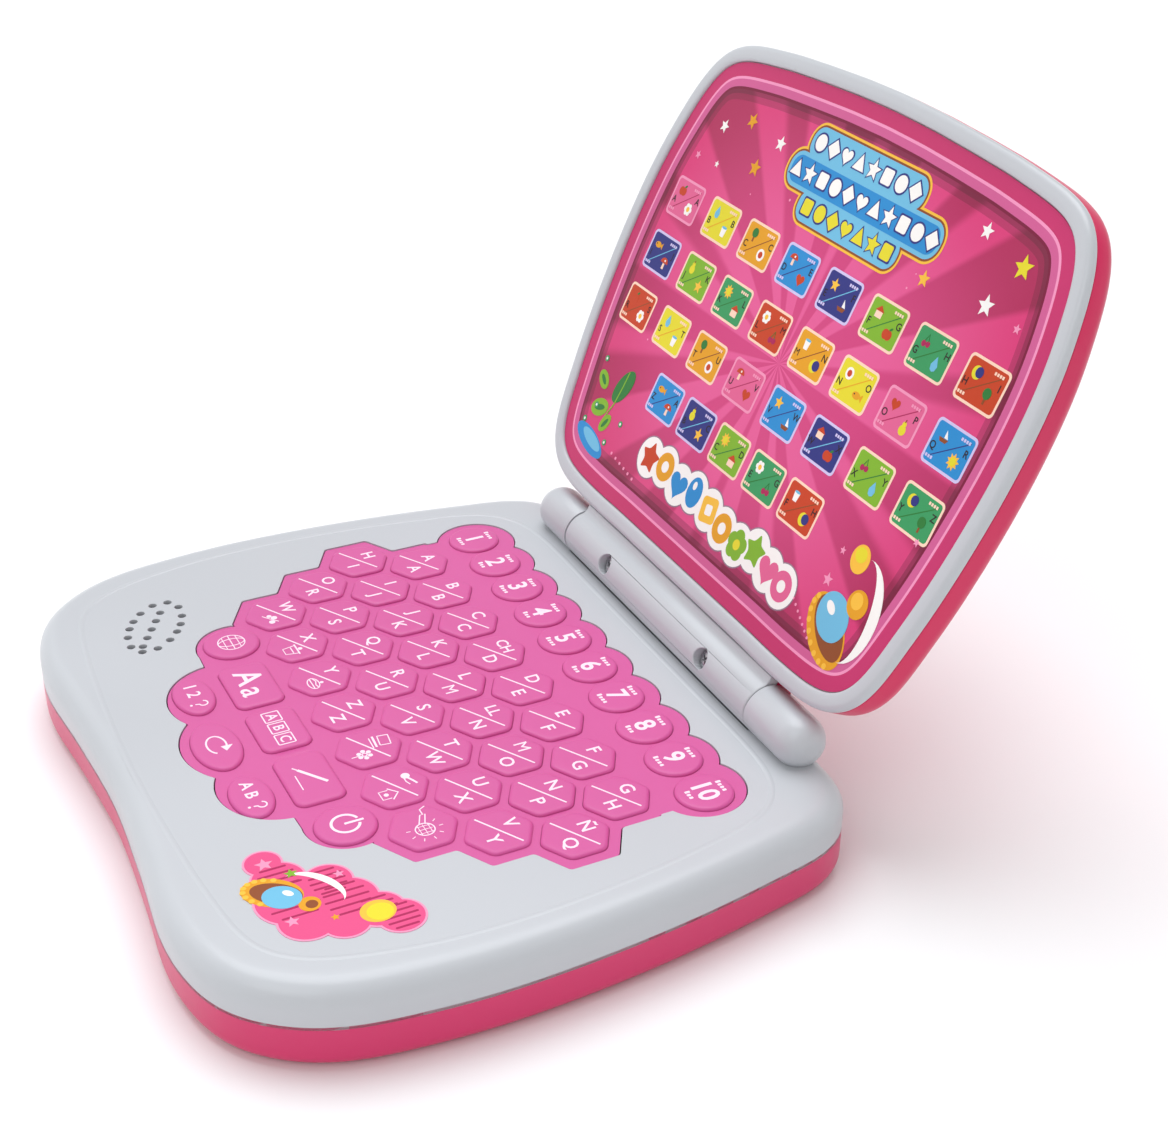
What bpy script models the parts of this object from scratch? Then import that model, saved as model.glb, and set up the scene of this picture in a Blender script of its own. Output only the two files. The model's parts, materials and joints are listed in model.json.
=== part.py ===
"""Children's toy laptop: a keypad base with a picture lid on a barrel hinge.

Row frame: +X to the user's right, +Y from the user towards the hinge, +Z up.
The origin is on the table, under the middle of the base. The lid stands open.
Lengths below are in millimetres; MM turns them into Blender's metres.
"""

import math

import bmesh
import bpy
from mathutils import Matrix, Vector

MM = 0.001

# Base shells
BASE_HALF_OUTLINE = [
    (0, -83.2), (34, -85.0), (64, -86.8), (87, -80.5), (102, -62.5), (107.8, -33),
    (108.4, -4), (105.6, 30), (100.6, 60), (96.6, 76), (87, 86.4), (64, 88), (32, 88),
]
BASE_BACK_Y = 88.0
FACE_Z = 24.0
SEAM_TOP_Z = 14.1
SEAM_BOTTOM_Z = 13.8
WALL = 2.0
TOP_EDGE_RADIUS = 6.0
BOTTOM_EDGE_RADIUS = 5.0
LIP_TOP_Z = 16.5
LIP_OUTER_INSET = 2.4
LIP_INNER_INSET = 3.7

# Keypad
KEY_PITCH = 19.0
KEY_ROW_PITCH = KEY_PITCH * math.sqrt(3) / 2
HEX_KEY_RADIUS = 9.5
HEX_CELL_APOTHEM = 11.7
LETTER_ROW_1_Y = 30.3
LETTER_GRID_X = -0.2
NUMBER_PITCH = 16.4
NUMBER_GRID_X = 0.3
NUMBER_Y = 51.7
NUMBER_KEY_RADIUS = 7.6
NUMBER_CELL_RADIUS = 12.4
NUMBER_CELL_REACH_X = 71.8
KEY_TOP_Z = 24.6
KEY_BOTTOM_Z = 21.1
MAT_TOP_Z = 23.7
MAT_BOTTOM_Z = 20.4
MAT_FLANGE_TOP_Z = 21.7
MAT_FLANGE = 2.6
KEY_GAP = 0.3
FIT_GAP = 0.3

FUNCTION_CELL = [(0, -47.4), (17, -47.2), (36, -46.7), (45.6, -46.3), (46.0, -24)]
FUNCTION_LOBES = [(-45.4, -34.9, 11.6), (45.4, -34.9, 11.6), (-21.9, -44.6, 16.9),
                  (21.9, -44.6, 16.9), (0.6, -44.6, 19.9)]

# Function keys: name, x, y, half width, half depth, corner radius; zero radius is an oval
FUNCTION_KEYS = [
    ("key_language", -46.9, -35.9, 7.9, 7.9, 0),
    ("key_letter", -23.6, -37.6, 10.7, 6.7, 2.8),
    ("key_word", 0.0, -37.6, 9.7, 6.7, 2.8),
    ("key_spell", 24.6, -37.6, 11.1, 6.7, 2.8),
    ("key_power", 47.3, -36.0, 7.9, 7.9, 0),
    ("key_number_quiz", -25.0, -53.5, 9.3, 5.4, 0),
    ("key_repeat", 0.6, -54.9, 11.3, 6.3, 0),
    ("key_letter_quiz", 25.8, -53.5, 9.3, 5.4, 0),
]

# Speaker grille: an oval of holes and a row along its long axis
GRILLE_X, GRILLE_Y = -66.9, -52.8
GRILLE_LONG, GRILLE_SHORT = 13.4, 7.8
GRILLE_TURN = math.radians(-27)
GRILLE_RING_HOLES = 14
GRILLE_ROW_HOLES = 5
GRILLE_ROW_PITCH = 4.7
GRILLE_HOLE_RADIUS = 1.0
SPEAKER_RADIUS = 13.2
HOLDER_RADIUS = 14.7

# Hinge and lid. Lid coordinates: x along the hinge, y up the lid, z out of its face.
HINGE_Y = 81.7
HINGE_Z = 29.35
LID_ANGLE = math.radians(64.2)
BARREL_RADIUS = 7.35
BARREL_HALF_LENGTH = 54.3
BARREL_WALL = 1.8
KNUCKLE_IN_X = 54.8
KNUCKLE_OUT_X = 77.0
TROUGH_RADIUS = BARREL_RADIUS + 0.6
PIVOT_RADIUS = 2.5
PIVOT_HOLE_RADIUS = 2.75
PIVOT_END_X = 59.5
HINGE_SCREW_X = 29.2
PICTURE_HALF_OUTLINE = [
    (0, 14.5), (36, 14.5), (64, 14.6), (77.8, 17.4), (84.4, 24.4), (88.0, 38), (91.2, 56),
    (93.4, 78), (93.9, 96), (92.9, 113), (90.2, 127), (86.6, 138.5), (80.2, 147.0),
    (66, 150.8), (34, 153.5),
]
PICTURE_TOP_Y = 154.6
RIM_WIDTH = 4.9
RIM_Z = 4.7
PICTURE_Z = 3.8
PICTURE_THICKNESS = 0.4
RECESS_Z = 3.1
LID_SEAM_Z = 2.5
PLATE_BACK_Z = 1.3
LID_BACK_Z = -8.8
LID_BACK_RISE = 2.6
LID_BACK_RADIUS = 6.5

# Battery bay and fasteners
BAY_HALF_X = 30.8
BAY_Y = (20.5, 67.4)
BAY_TOP_Z = 17.2
BAY_WALL = 2.0
DOOR_TAB_HALF_X = 11.6
DOOR_TAB_FRONT_Y = 8.0
DOOR_SCREW_Y = 13.6
DOOR_THICKNESS = 1.8
FLOOR = 2.2
CELL_RADIUS = 7.25
CELL_LENGTH = 49.2
CELL_PITCH = 15.1
CELL_Z = 9.6
CASE_SCREWS = [(91, 66), (-91, 66), (80, -70), (-80, -70)]
BOARD_Z = (18.7, 20.1)

MATERIALS = {
    "white_plastic": ((0.68, 0.73, 0.80), 0.28, 0.0),
    "pink_plastic": ((0.68, 0.045, 0.15), 0.30, 0.0),
    "pink_silicone": ((0.80, 0.13, 0.44), 0.38, 0.0),
    "printed_panel": ((0.58, 0.05, 0.18), 0.25, 0.0),
    "sticker": ((0.75, 0.12, 0.30), 0.30, 0.0),
    "steel": ((0.55, 0.55, 0.56), 0.30, 1.0),
    "circuit_board": ((0.05, 0.22, 0.08), 0.50, 0.0),
    "battery_wrap": ((0.06, 0.10, 0.30), 0.35, 0.0),
    "speaker_black": ((0.03, 0.03, 0.035), 0.60, 0.0),
    "wire_red": ((0.50, 0.02, 0.02), 0.45, 0.0),
}


# ---------------------------------------------------------------- outlines

def smooth_loop(points, steps):
    """Closed centripetal Catmull-Rom curve through the points."""
    count = len(points)
    knots = [Vector(p) for p in points]
    loop = []
    for i in range(count):
        p0, p1, p2, p3 = (knots[(i + k) % count] for k in (-1, 0, 1, 2))
        d0, d1, d2 = (math.sqrt((b - a).length) for a, b in ((p0, p1), (p1, p2), (p2, p3)))
        m1 = (p1 - p0) / d0 - (p2 - p0) / (d0 + d1) + (p2 - p1) / d1
        m2 = (p2 - p1) / d1 - (p3 - p1) / (d1 + d2) + (p3 - p2) / d2
        m1, m2 = m1 * d1, m2 * d1
        for k in range(steps):
            t = k / steps
            a, b = 2 * t**3 - 3 * t**2 + 1, t**3 - 2 * t**2 + t
            c, d = -2 * t**3 + 3 * t**2, t**3 - t**2
            loop.append(p1 * a + m1 * b + p2 * c + m2 * d)
    return loop


def mirrored(half, middle):
    """The whole loop, counterclockwise, from its right half, which starts on the axis."""
    left = [(-x, y) for x, y in reversed(half[1:])]
    return half + [middle] + left


def inset(loop, distance):
    """The loop moved inwards along its normals."""
    count = len(loop)
    moved = []
    for i, point in enumerate(loop):
        along = (loop[(i + 1) % count] - loop[i - 1]).normalized()
        moved.append(point - Vector((along.y, -along.x)) * distance)
    return moved


def rounded_rectangle(x, y, half_x, half_y, radius, steps=5):
    corners = [(1, 1, 0), (-1, 1, 90), (-1, -1, 180), (1, -1, 270)]
    loop = []
    for side_x, side_y, start in corners:
        centre = Vector((x + side_x * (half_x - radius), y + side_y * (half_y - radius)))
        for k in range(steps + 1):
            turn = math.radians(start + 90 * k / steps)
            loop.append(centre + Vector((math.cos(turn), math.sin(turn))) * radius)
    return loop


def regular_polygon(x, y, radius, sides, start=90.0):
    turns = [math.radians(start + 360 * k / sides) for k in range(sides)]
    return [Vector((x + radius * math.cos(a), y + radius * math.sin(a))) for a in turns]


def oval(x, y, half_x, half_y, sides=20):
    turns = [2 * math.pi * k / sides for k in range(sides)]
    return [Vector((x + half_x * math.cos(a), y + half_y * math.sin(a))) for a in turns]


def edges_of(loop):
    return zip(loop, loop[1:] + loop[:1])


def crossings(start, end, loop):
    """Where, from 0 at start to 1 at end, a segment crosses a loop's edges."""
    along = end - start
    found = []
    for a, b in edges_of(loop):
        edge = b - a
        slope = along.cross(edge)
        if abs(slope) > 1e-9:
            here, there = (a - start).cross(edge) / slope, (a - start).cross(along) / slope
            if 0 < here < 1 and 0 <= there <= 1:
                found.append(here)
    return found


def within(point, loop):
    """Whether a point is inside a convex counterclockwise loop."""
    return all((b - a).cross(point - a) > 0 for a, b in edges_of(loop))


def reaches(one, other):
    """Whether two loops' bounding rectangles overlap."""
    spans = [(min(p[k] for p in loop), max(p[k] for p in loop))
             for k in (0, 1) for loop in (one, other)]
    return all(a[0] < b[1] and b[0] < a[1] for a, b in (spans[:2], spans[2:]))


def outer_outline(cells):
    """The outside of overlapping convex counterclockwise cells, as one loop."""
    kept = []
    for cell in cells:
        near = [c for c in cells if c is not cell and reaches(c, cell)]
        for start, end in edges_of(cell):
            marks = sorted({0.0, 1.0}.union(*(crossings(start, end, c) for c in near)))
            for low, high in zip(marks, marks[1:]):
                if not any(within(start.lerp(end, (low + high) / 2), c) for c in near):
                    kept.append((start.lerp(end, low), start.lerp(end, high)))
    piece = min(kept, key=lambda p: p[0].x)
    loop = []
    while piece is not None:
        kept.remove(piece)
        loop.append(piece[0])
        following = min(kept, key=lambda p: (p[0] - piece[1]).length, default=None)
        closed = (loop[0] - piece[1]).length < 1e-3
        piece = None if closed else following
    return [b for a, b in edges_of(loop) if (b - a).length > 0.02]


# ------------------------------------------------------------ mesh building

def new_collection(name):
    collection = bpy.data.collections.new(name)
    bpy.context.scene.collection.children.link(collection)
    return collection


def add_object(name, mesh, collection):
    thing = bpy.data.objects.new(name, mesh)
    collection.objects.link(thing)
    return thing


def baked(thing, name):
    """Replaces an object by a mesh object holding its evaluated shape."""
    bpy.context.view_layer.update()
    graph = bpy.context.evaluated_depsgraph_get()
    mesh = bpy.data.meshes.new_from_object(thing.evaluated_get(graph))
    mesh.transform(thing.matrix_world)
    collection = thing.users_collection[0]
    bpy.data.objects.remove(thing)
    return add_object(name, mesh, collection)


def slab(name, loop, low, high):
    """A flat outline, extruded from one height to another, with flat one-piece caps."""
    curve = bpy.data.curves.new(name, "CURVE")
    curve.dimensions = "2D"
    curve.fill_mode = "BOTH"
    curve.extrude = (high - low) / 2 * MM
    spline = curve.splines.new("POLY")
    spline.points.add(len(loop) - 1)
    for point, place in zip(spline.points, loop):
        point.co = (place.x * MM, place.y * MM, 0, 1)
    spline.use_cyclic_u = True
    thing = add_object(name, curve, parts)
    thing.location.z = (low + high) / 2 * MM
    thing = baked(thing, name)
    edit = bmesh.new()
    edit.from_mesh(thing.data)
    bmesh.ops.remove_doubles(edit, verts=edit.verts, dist=1e-6)
    inner = [e for e in edit.edges if e.is_manifold and e.calc_face_angle() < 1e-4
             and abs(e.link_faces[0].normal.z) > 0.9]
    bmesh.ops.dissolve_edges(edit, edges=inner, use_verts=False)
    bmesh.ops.recalc_face_normals(edit, faces=edit.faces)
    edit.to_mesh(thing.data)
    edit.free()
    return thing


def box(name, low, high):
    middle = (Vector(low) + Vector(high)) / 2
    size = Vector(high) - Vector(low)
    edit = bmesh.new()
    matrix = Matrix.Translation(middle * MM) @ Matrix.Diagonal((*(size * MM), 1))
    bmesh.ops.create_cube(edit, size=1, matrix=matrix)
    return finish_mesh(name, edit)


def cylinder(name, radius, start, end, sides=24, end_radius=None):
    """A cylinder or cone between two points."""
    start, end = Vector(start) * MM, Vector(end) * MM
    axis = end - start
    turn = axis.to_track_quat("Z", "Y").to_matrix().to_4x4()
    edit = bmesh.new()
    bmesh.ops.create_cone(
        edit, cap_ends=True, segments=sides, radius1=radius * MM,
        radius2=(radius if end_radius is None else end_radius) * MM, depth=axis.length,
        matrix=Matrix.Translation((start + end) / 2) @ turn)
    return finish_mesh(name, edit)


def finish_mesh(name, edit):
    mesh = bpy.data.meshes.new(name)
    edit.to_mesh(mesh)
    edit.free()
    return add_object(name, mesh, parts)


def round_edges(thing, chosen, radius, segments):
    """Bevels the edges for which chosen(edge) is true."""
    edit = bmesh.new()
    edit.from_mesh(thing.data)
    edges = [e for e in edit.edges if chosen(e)]
    bmesh.ops.bevel(edit, geom=edges, offset=radius * MM, segments=segments, profile=0.5,
                    affect="EDGES")
    edit.to_mesh(thing.data)
    edit.free()


def rim_at(height):
    """Chooses the edges of a slab's cap at one height."""
    return lambda e: all(abs(v.co.z - height * MM) < 1e-6 for v in e.verts)


def join(target, tool, operation):
    """Applies a boolean of the tool to the target, and removes the tool."""
    tool.hide_render = True
    tool.display_type = "WIRE"
    for collection in tool.users_collection:
        collection.objects.unlink(tool)
    cutters.objects.link(tool)
    modifier = target.modifiers.new(operation, "BOOLEAN")
    modifier.operation = operation
    modifier.object = tool
    modifier.solver = "EXACT"
    name = target.name
    target.name = name + "_before"
    result = baked(target, name)
    bpy.data.objects.remove(tool)
    return result


def add(target, *tools):
    for tool in tools:
        target = join(target, tool, "UNION")
    return target


def cut(target, *tools):
    for tool in tools:
        target = join(target, tool, "DIFFERENCE")
    return target


def merged(name, pieces):
    """One mesh object out of separate bodies, used as a cutter."""
    edit = bmesh.new()
    for piece in pieces:
        edit.from_mesh(piece.data)
        bpy.data.objects.remove(piece)
    return finish_mesh(name, edit)


def tube(name, points, radius):
    """A wire along the points, with closed ends."""
    curve = bpy.data.curves.new(name, "CURVE")
    curve.dimensions = "3D"
    curve.bevel_depth = radius * MM
    curve.bevel_resolution = 2
    curve.use_fill_caps = True
    spline = curve.splines.new("POLY")
    spline.points.add(len(points) - 1)
    for point, place in zip(spline.points, points):
        point.co = (*(Vector(place) * MM), 1)
    thing = baked(add_object(name, curve, parts), name)
    edit = bmesh.new()
    edit.from_mesh(thing.data)
    bmesh.ops.remove_doubles(edit, verts=edit.verts, dist=1e-6)
    bmesh.ops.recalc_face_normals(edit, faces=edit.faces)
    edit.to_mesh(thing.data)
    edit.free()
    return thing


# -------------------------------------------------------- keypad layout data

def letter_rows():
    """Centres of the four rows of six-sided keys, each row from left to right."""
    rows = []
    for row, (first, count) in enumerate([(0.0, 8), (-0.5, 9), (0.0, 8), (0.5, 7)]):
        y = LETTER_ROW_1_Y - row * KEY_ROW_PITCH
        rows.append([(LETTER_GRID_X + (first + i - 3.5) * KEY_PITCH, y) for i in range(count)])
    return rows


def number_places():
    return [(NUMBER_GRID_X + (i - 4.5) * NUMBER_PITCH, NUMBER_Y) for i in range(10)]


def moving_keys():
    """Name and outline of each key that is a piece of its own."""
    keys = []
    for i, (x, y) in enumerate(number_places()):
        keys.append((f"key_number_{i + 1:02d}", regular_polygon(x, y, NUMBER_KEY_RADIUS, 18)))
    rows = letter_rows()
    for letter, (x, y) in zip("abcdefghijklmnopq", rows[0] + rows[1]):
        keys.append((f"key_{letter}", regular_polygon(x, y, HEX_KEY_RADIUS, 6)))
    for name, x, y, half_x, half_y, radius in FUNCTION_KEYS:
        outline = rounded_rectangle(x, y, half_x, half_y, radius) if radius else None
        keys.append((name, outline or oval(x, y, half_x, half_y)))
    return keys


def keypad_cells(grow):
    """Overlapping outlines whose union is the keypad's opening, grown by some millimetres."""
    hex_radius = (HEX_CELL_APOTHEM + grow) / math.cos(math.radians(30))
    cells = [regular_polygon(x, y, hex_radius, 6) for row in letter_rows() for x, y in row]
    for x, y in number_places():
        x = max(-NUMBER_CELL_REACH_X, min(NUMBER_CELL_REACH_X, x))
        cells.append(regular_polygon(x, y, NUMBER_CELL_RADIUS + grow, 22))
    cells += [regular_polygon(x, y, radius + grow, 26) for x, y, radius in FUNCTION_LOBES]
    cells.append(inset([Vector(p) for p in mirrored(FUNCTION_CELL, (0, -22))], -grow))
    cells.append(rounded_rectangle(0, 39.0, 77.4, 5.0, 2.0))
    return cells


def keypad_block(name, grow, low, high):
    """The keypad's whole outline as one extruded solid."""
    return slab(name, outer_outline(keypad_cells(grow)), low, high)


# ------------------------------------------------------------------- pieces

def base_top_shell():
    shell = slab("base_top_shell", base_loop, SEAM_TOP_Z, FACE_Z)
    round_edges(shell, rim_at(FACE_Z), TOP_EDGE_RADIUS, 4)
    hollow = slab("hollow", inset(base_loop, WALL), SEAM_TOP_Z - 1, FACE_Z - WALL)
    round_edges(hollow, rim_at(FACE_Z - WALL), TOP_EDGE_RADIUS - WALL, 2)
    shell = cut(shell, hollow)
    bed = box("bed", (-58, 74.4, 19.6), (58, 85.4, 23.0))
    bosses = [cylinder(f"boss_{i}", 3.6, (x, y, 12.0), (x, y, 22.6))
              for i, (x, y) in enumerate(CASE_SCREWS)]
    holder = cylinder("holder", HOLDER_RADIUS, (GRILLE_X, GRILLE_Y, 17.4),
                      (GRILLE_X, GRILLE_Y, 22.6), 32)
    holder = cut(holder, cylinder("holder_hole", SPEAKER_RADIUS + FIT_GAP, (GRILLE_X, GRILLE_Y, 16),
                                  (GRILLE_X, GRILLE_Y, 22), 32))
    shell = add(shell, bed, holder, *bosses)
    for side in (-1, 1):
        knuckle = cylinder("knuckle", BARREL_RADIUS, (side * 50, HINGE_Y, HINGE_Z),
                           (side * KNUCKLE_OUT_X, HINGE_Y, HINGE_Z), 32)
        end = side * KNUCKLE_OUT_X * MM
        round_edges(knuckle, lambda e: all(abs(v.co.x - end) < 1e-6 for v in e.verts), 5.2, 3)
        shell = add(shell, knuckle)
        shell = cut(shell, cylinder("knuckle_bore", 5.3, (side * 57.3, HINGE_Y, HINGE_Z),
                                    (side * 72.5, HINGE_Y, HINGE_Z), 32))
        low_x, high_x = sorted((side * 57.3, side * 72.5))
        shell = cut(shell, box("knuckle_slot", (low_x, HINGE_Y - 4.4, 19.0),
                               (high_x, HINGE_Y + 3.2, HINGE_Z - 1)))
    shell = cut(
        shell,
        cylinder("trough", TROUGH_RADIUS, (-KNUCKLE_IN_X, HINGE_Y, HINGE_Z),
                 (KNUCKLE_IN_X, HINGE_Y, HINGE_Z), 40),
        cylinder("pivot_bore", PIVOT_HOLE_RADIUS, (-62, HINGE_Y, HINGE_Z),
                 (62, HINGE_Y, HINGE_Z), 24),
        keypad_block("keypad_opening", 0.0, FACE_Z - WALL - 2, FACE_Z + 1),
        merged("grille_holes", [
            cylinder(f"grille_{i}", GRILLE_HOLE_RADIUS, (x, y, 17), (x, y, 25), 8)
            for i, (x, y) in enumerate(grille_places())]),
        merged("pilot_holes", [
            cylinder(f"pilot_{i}", 1.4, (x, y, 11), (x, y, 20.5), 16)
            for i, (x, y) in enumerate(CASE_SCREWS)]),
    )
    return shell


def grille_places():
    along = Vector((math.cos(GRILLE_TURN), math.sin(GRILLE_TURN)))
    across = Vector((-along.y, along.x))
    centre = Vector((GRILLE_X, GRILLE_Y))
    places = []
    for k in range(GRILLE_RING_HOLES):
        turn = 2 * math.pi * k / GRILLE_RING_HOLES
        places.append(centre + along * GRILLE_LONG * math.cos(turn)
                      + across * GRILLE_SHORT * math.sin(turn))
    for k in range(GRILLE_ROW_HOLES):
        places.append(centre + along * (k - (GRILLE_ROW_HOLES - 1) / 2) * GRILLE_ROW_PITCH)
    return places


def base_bottom_shell():
    shell = slab("base_bottom_shell", base_loop, 0, SEAM_BOTTOM_Z)
    round_edges(shell, rim_at(0), BOTTOM_EDGE_RADIUS, 3)
    hollow = slab("hollow", inset(base_loop, WALL), FLOOR, SEAM_BOTTOM_Z + 1)
    round_edges(hollow, rim_at(FLOOR), BOTTOM_EDGE_RADIUS - WALL, 2)
    shell = cut(shell, hollow)
    for outer, low, high in ((1.0, 9.5, 13.5), (LIP_OUTER_INSET, 12.5, LIP_TOP_Z)):
        lip = slab("lip", inset(base_loop, outer), low, high)
        lip = cut(lip, slab("lip_hole", inset(base_loop, LIP_INNER_INSET), low - 1, high + 1))
        shell = add(shell, lip)
    front, back = BAY_Y
    shell = add(
        shell,
        box("bay", (-BAY_HALF_X - BAY_WALL, front - BAY_WALL, 0.4),
            (BAY_HALF_X + BAY_WALL, back + BAY_WALL, BAY_TOP_Z + 1.2)),
        box("tab_bay", (-DOOR_TAB_HALF_X - BAY_WALL, DOOR_TAB_FRONT_Y - BAY_WALL, 0.4),
            (DOOR_TAB_HALF_X + BAY_WALL, front, BAY_TOP_Z + 1.2)),
        *[cylinder(f"post_{i}", 4.2, (x, y, 0.6), (x, y, 11.7)) for i, (x, y) in
          enumerate(CASE_SCREWS)],
    )
    shell = cut(
        shell,
        box("bay_room", (-BAY_HALF_X, front, -1), (BAY_HALF_X, back, BAY_TOP_Z)),
        box("tab_room", (-DOOR_TAB_HALF_X, DOOR_TAB_FRONT_Y, -1),
            (DOOR_TAB_HALF_X, front + 1, BAY_TOP_Z)),
        merged("head_wells", [cylinder(f"well_{i}", 3.1, (x, y, -1), (x, y, 7.5))
                              for i, (x, y) in enumerate(CASE_SCREWS)]),
        merged("screw_holes", [cylinder(f"hole_{i}", 1.6, (x, y, 6), (x, y, 13), 16)
                               for i, (x, y) in enumerate(CASE_SCREWS)]),
    )
    boss = cylinder("door_boss", 3.4, (0, DOOR_SCREW_Y, 7.6), (0, DOOR_SCREW_Y, BAY_TOP_Z + 0.6))
    shell = add(shell, boss)
    return cut(shell, cylinder("door_pilot", 1.4, (0, DOOR_SCREW_Y, 6), (0, DOOR_SCREW_Y, 15), 16))


def battery_door():
    front, back = BAY_Y
    gap = 0.4
    door = box("battery_door", (-BAY_HALF_X + gap, front + gap, 0),
               (BAY_HALF_X - gap, back - gap, DOOR_THICKNESS))
    tab = box("tab", (-DOOR_TAB_HALF_X + gap, DOOR_TAB_FRONT_Y + gap, 0),
              (DOOR_TAB_HALF_X - gap, front + 2, DOOR_THICKNESS))
    well = cylinder("well", 4.6, (0, DOOR_SCREW_Y, 0), (0, DOOR_SCREW_Y, 7.2))
    door = add(door, tab, well)
    return cut(door, cylinder("head_well", 3.1, (0, DOOR_SCREW_Y, -1), (0, DOOR_SCREW_Y, 4.6)),
               cylinder("screw_hole", 1.6, (0, DOOR_SCREW_Y, 4), (0, DOOR_SCREW_Y, 8), 16))


def keypad_mat(keys):
    mat = keypad_block("keypad_mat", MAT_FLANGE, MAT_BOTTOM_Z, MAT_FLANGE_TOP_Z)
    mat = add(mat, keypad_block("raised_sheet", -FIT_GAP, MAT_BOTTOM_Z + 0.5, MAT_TOP_Z))
    rows = letter_rows()
    for i, (x, y) in enumerate(rows[2] + rows[3]):
        raised = slab(f"raised_{i}", regular_polygon(x, y, HEX_KEY_RADIUS, 6), 22, KEY_TOP_Z)
        round_edges(raised, rim_at(KEY_TOP_Z), 0.6, 1)
        mat = add(mat, raised)
    holes = [slab(f"hole_{name}", inset(loop, -KEY_GAP), MAT_BOTTOM_Z - 1, MAT_TOP_Z + 1)
             for name, loop in keys]
    notch = cylinder("speaker_notch", HOLDER_RADIUS + FIT_GAP, (GRILLE_X, GRILLE_Y, 20),
                     (GRILLE_X, GRILLE_Y, 22), 32)
    return cut(mat, merged("key_holes", holes), notch)


def key_cap(name, loop):
    cap = slab(name, loop, KEY_BOTTOM_Z, KEY_TOP_Z)
    round_edges(cap, rim_at(KEY_TOP_Z), 0.6, 1)
    centre = sum(loop, Vector((0, 0))) / len(loop)
    place = Vector((centre.x, centre.y, KEY_TOP_Z)) * MM
    cap.data.transform(Matrix.Translation(-place))
    cap.location = place
    return cap


def circuit_board():
    low, high = BOARD_Z
    board = box("circuit_board", (-85, -30, low), (85, 62.5, high))
    return add(board, box("board_front", (-38, -64, low), (38, -29, high)),
               cylinder("chip_blob", 6.0, (60, -8, 17.3), (60, -8, low + 0.4), 24),
               box("capacitor", (50, 20, 13.5), (56, 26, low + 0.4)))


def speaker():
    """Frame, cone rim and magnet as one turned profile about the grille's centre."""
    profile = [(0, 21.4), (SPEAKER_RADIUS, 21.4), (SPEAKER_RADIUS, 20.2), (12.0, 19.8),
               (9.0, 17.4), (8.2, 17.4), (8.2, 14.0), (0, 14.0)]
    edit = bmesh.new()
    verts = [edit.verts.new((x * MM, 0, z * MM)) for x, z in profile]
    for start, end in zip(verts, verts[1:]):
        edit.edges.new((start, end))
    thing = finish_mesh("speaker", edit)
    turn = thing.modifiers.new("turn", "SCREW")
    turn.steps = turn.render_steps = 32
    turn.use_merge_vertices = True
    turn.merge_threshold = 0.00001
    thing.location = (GRILLE_X * MM, GRILLE_Y * MM, 0)
    return baked(thing, "speaker")


def battery(index):
    y = sum(BAY_Y) / 2 + (index - 1) * CELL_PITCH
    way = 1 if index % 2 else -1
    half = CELL_LENGTH / 2
    start, end = (-way * (half + 0.6), y, CELL_Z), (way * (half - 0.6), y, CELL_Z)
    cell = cylinder(f"battery_{index + 1}", CELL_RADIUS, start, end, 22)
    nub = cylinder("nub", 2.75, (way * (half - 2), y, CELL_Z), (way * (half + 0.7), y, CELL_Z), 12)
    return add(cell, nub)


def battery_contact(name, side):
    """A sheet strip with one pressed cone for each cell."""
    far, near, tip = side * 30.4, side * 29.9, side * 26.4
    front, back = BAY_Y
    low_x, high_x = sorted((far, near))
    strip = box(name, (low_x, front + 2, 4.5), (high_x, back - 2, 14.8))
    middle = sum(BAY_Y) / 2
    cones = [cylinder(f"cone_{i}", 4.2, (side * 30.1, middle + i * CELL_PITCH, CELL_Z),
                      (tip, middle + i * CELL_PITCH, CELL_Z), 12, 2.2) for i in (-1, 0, 1)]
    return add(strip, *cones)


def screw(name, place, direction, head_radius, shaft_radius, length):
    """A pan-head screw with a cross slot; place is the top of its head."""
    place, direction = Vector(place), Vector(direction)
    head = cylinder(name, head_radius, place, place - direction * 1.7, 16)
    shaft = cylinder("shaft", shaft_radius, place - direction * 1.2, place - direction * length, 10)
    thing = add(head, shaft)
    side = direction.orthogonal().normalized()
    for way in (side, direction.cross(side)):
        other = direction.cross(way)
        half = way * head_radius * 0.62 + other * 0.35 + direction * 0.9
        corners = [Vector([abs(c) for c in half])]
        thing = cut(thing, box("slot", place - corners[0], place + corners[0]))
    return thing


def base_sticker():
    discs = [(53, -59.5, 5.0), (60.5, -58, 7.0), (69, -57.5, 9.4), (77.5, -56.5, 7.5),
             (66, -47.5, 6.5), (74, -45.5, 8.0), (81.5, -48.5, 6.4), (81, -40, 6.6),
             (85.4, -36.2, 6.2)]
    outline = outer_outline([regular_polygon(x, y, radius, 18) for x, y, radius in discs])
    return slab("base_sticker", outline, FACE_Z + 0.15, FACE_Z + 0.4)


def lid_front_shell():
    shell = slab("lid_front_shell", lid_loop, LID_SEAM_Z, RIM_Z)
    round_edges(shell, rim_at(RIM_Z), 1.7, 3)
    shell = cut(shell, slab("recess", picture_loop, RECESS_Z, RIM_Z + 1))
    return add(shell, slab("plate", inset(lid_loop, WALL + FIT_GAP), PLATE_BACK_Z, LID_SEAM_Z + 0.3))


def lid_picture_panel():
    return slab("lid_picture_panel", inset(picture_loop, FIT_GAP), PICTURE_Z - PICTURE_THICKNESS,
                PICTURE_Z)


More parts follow.
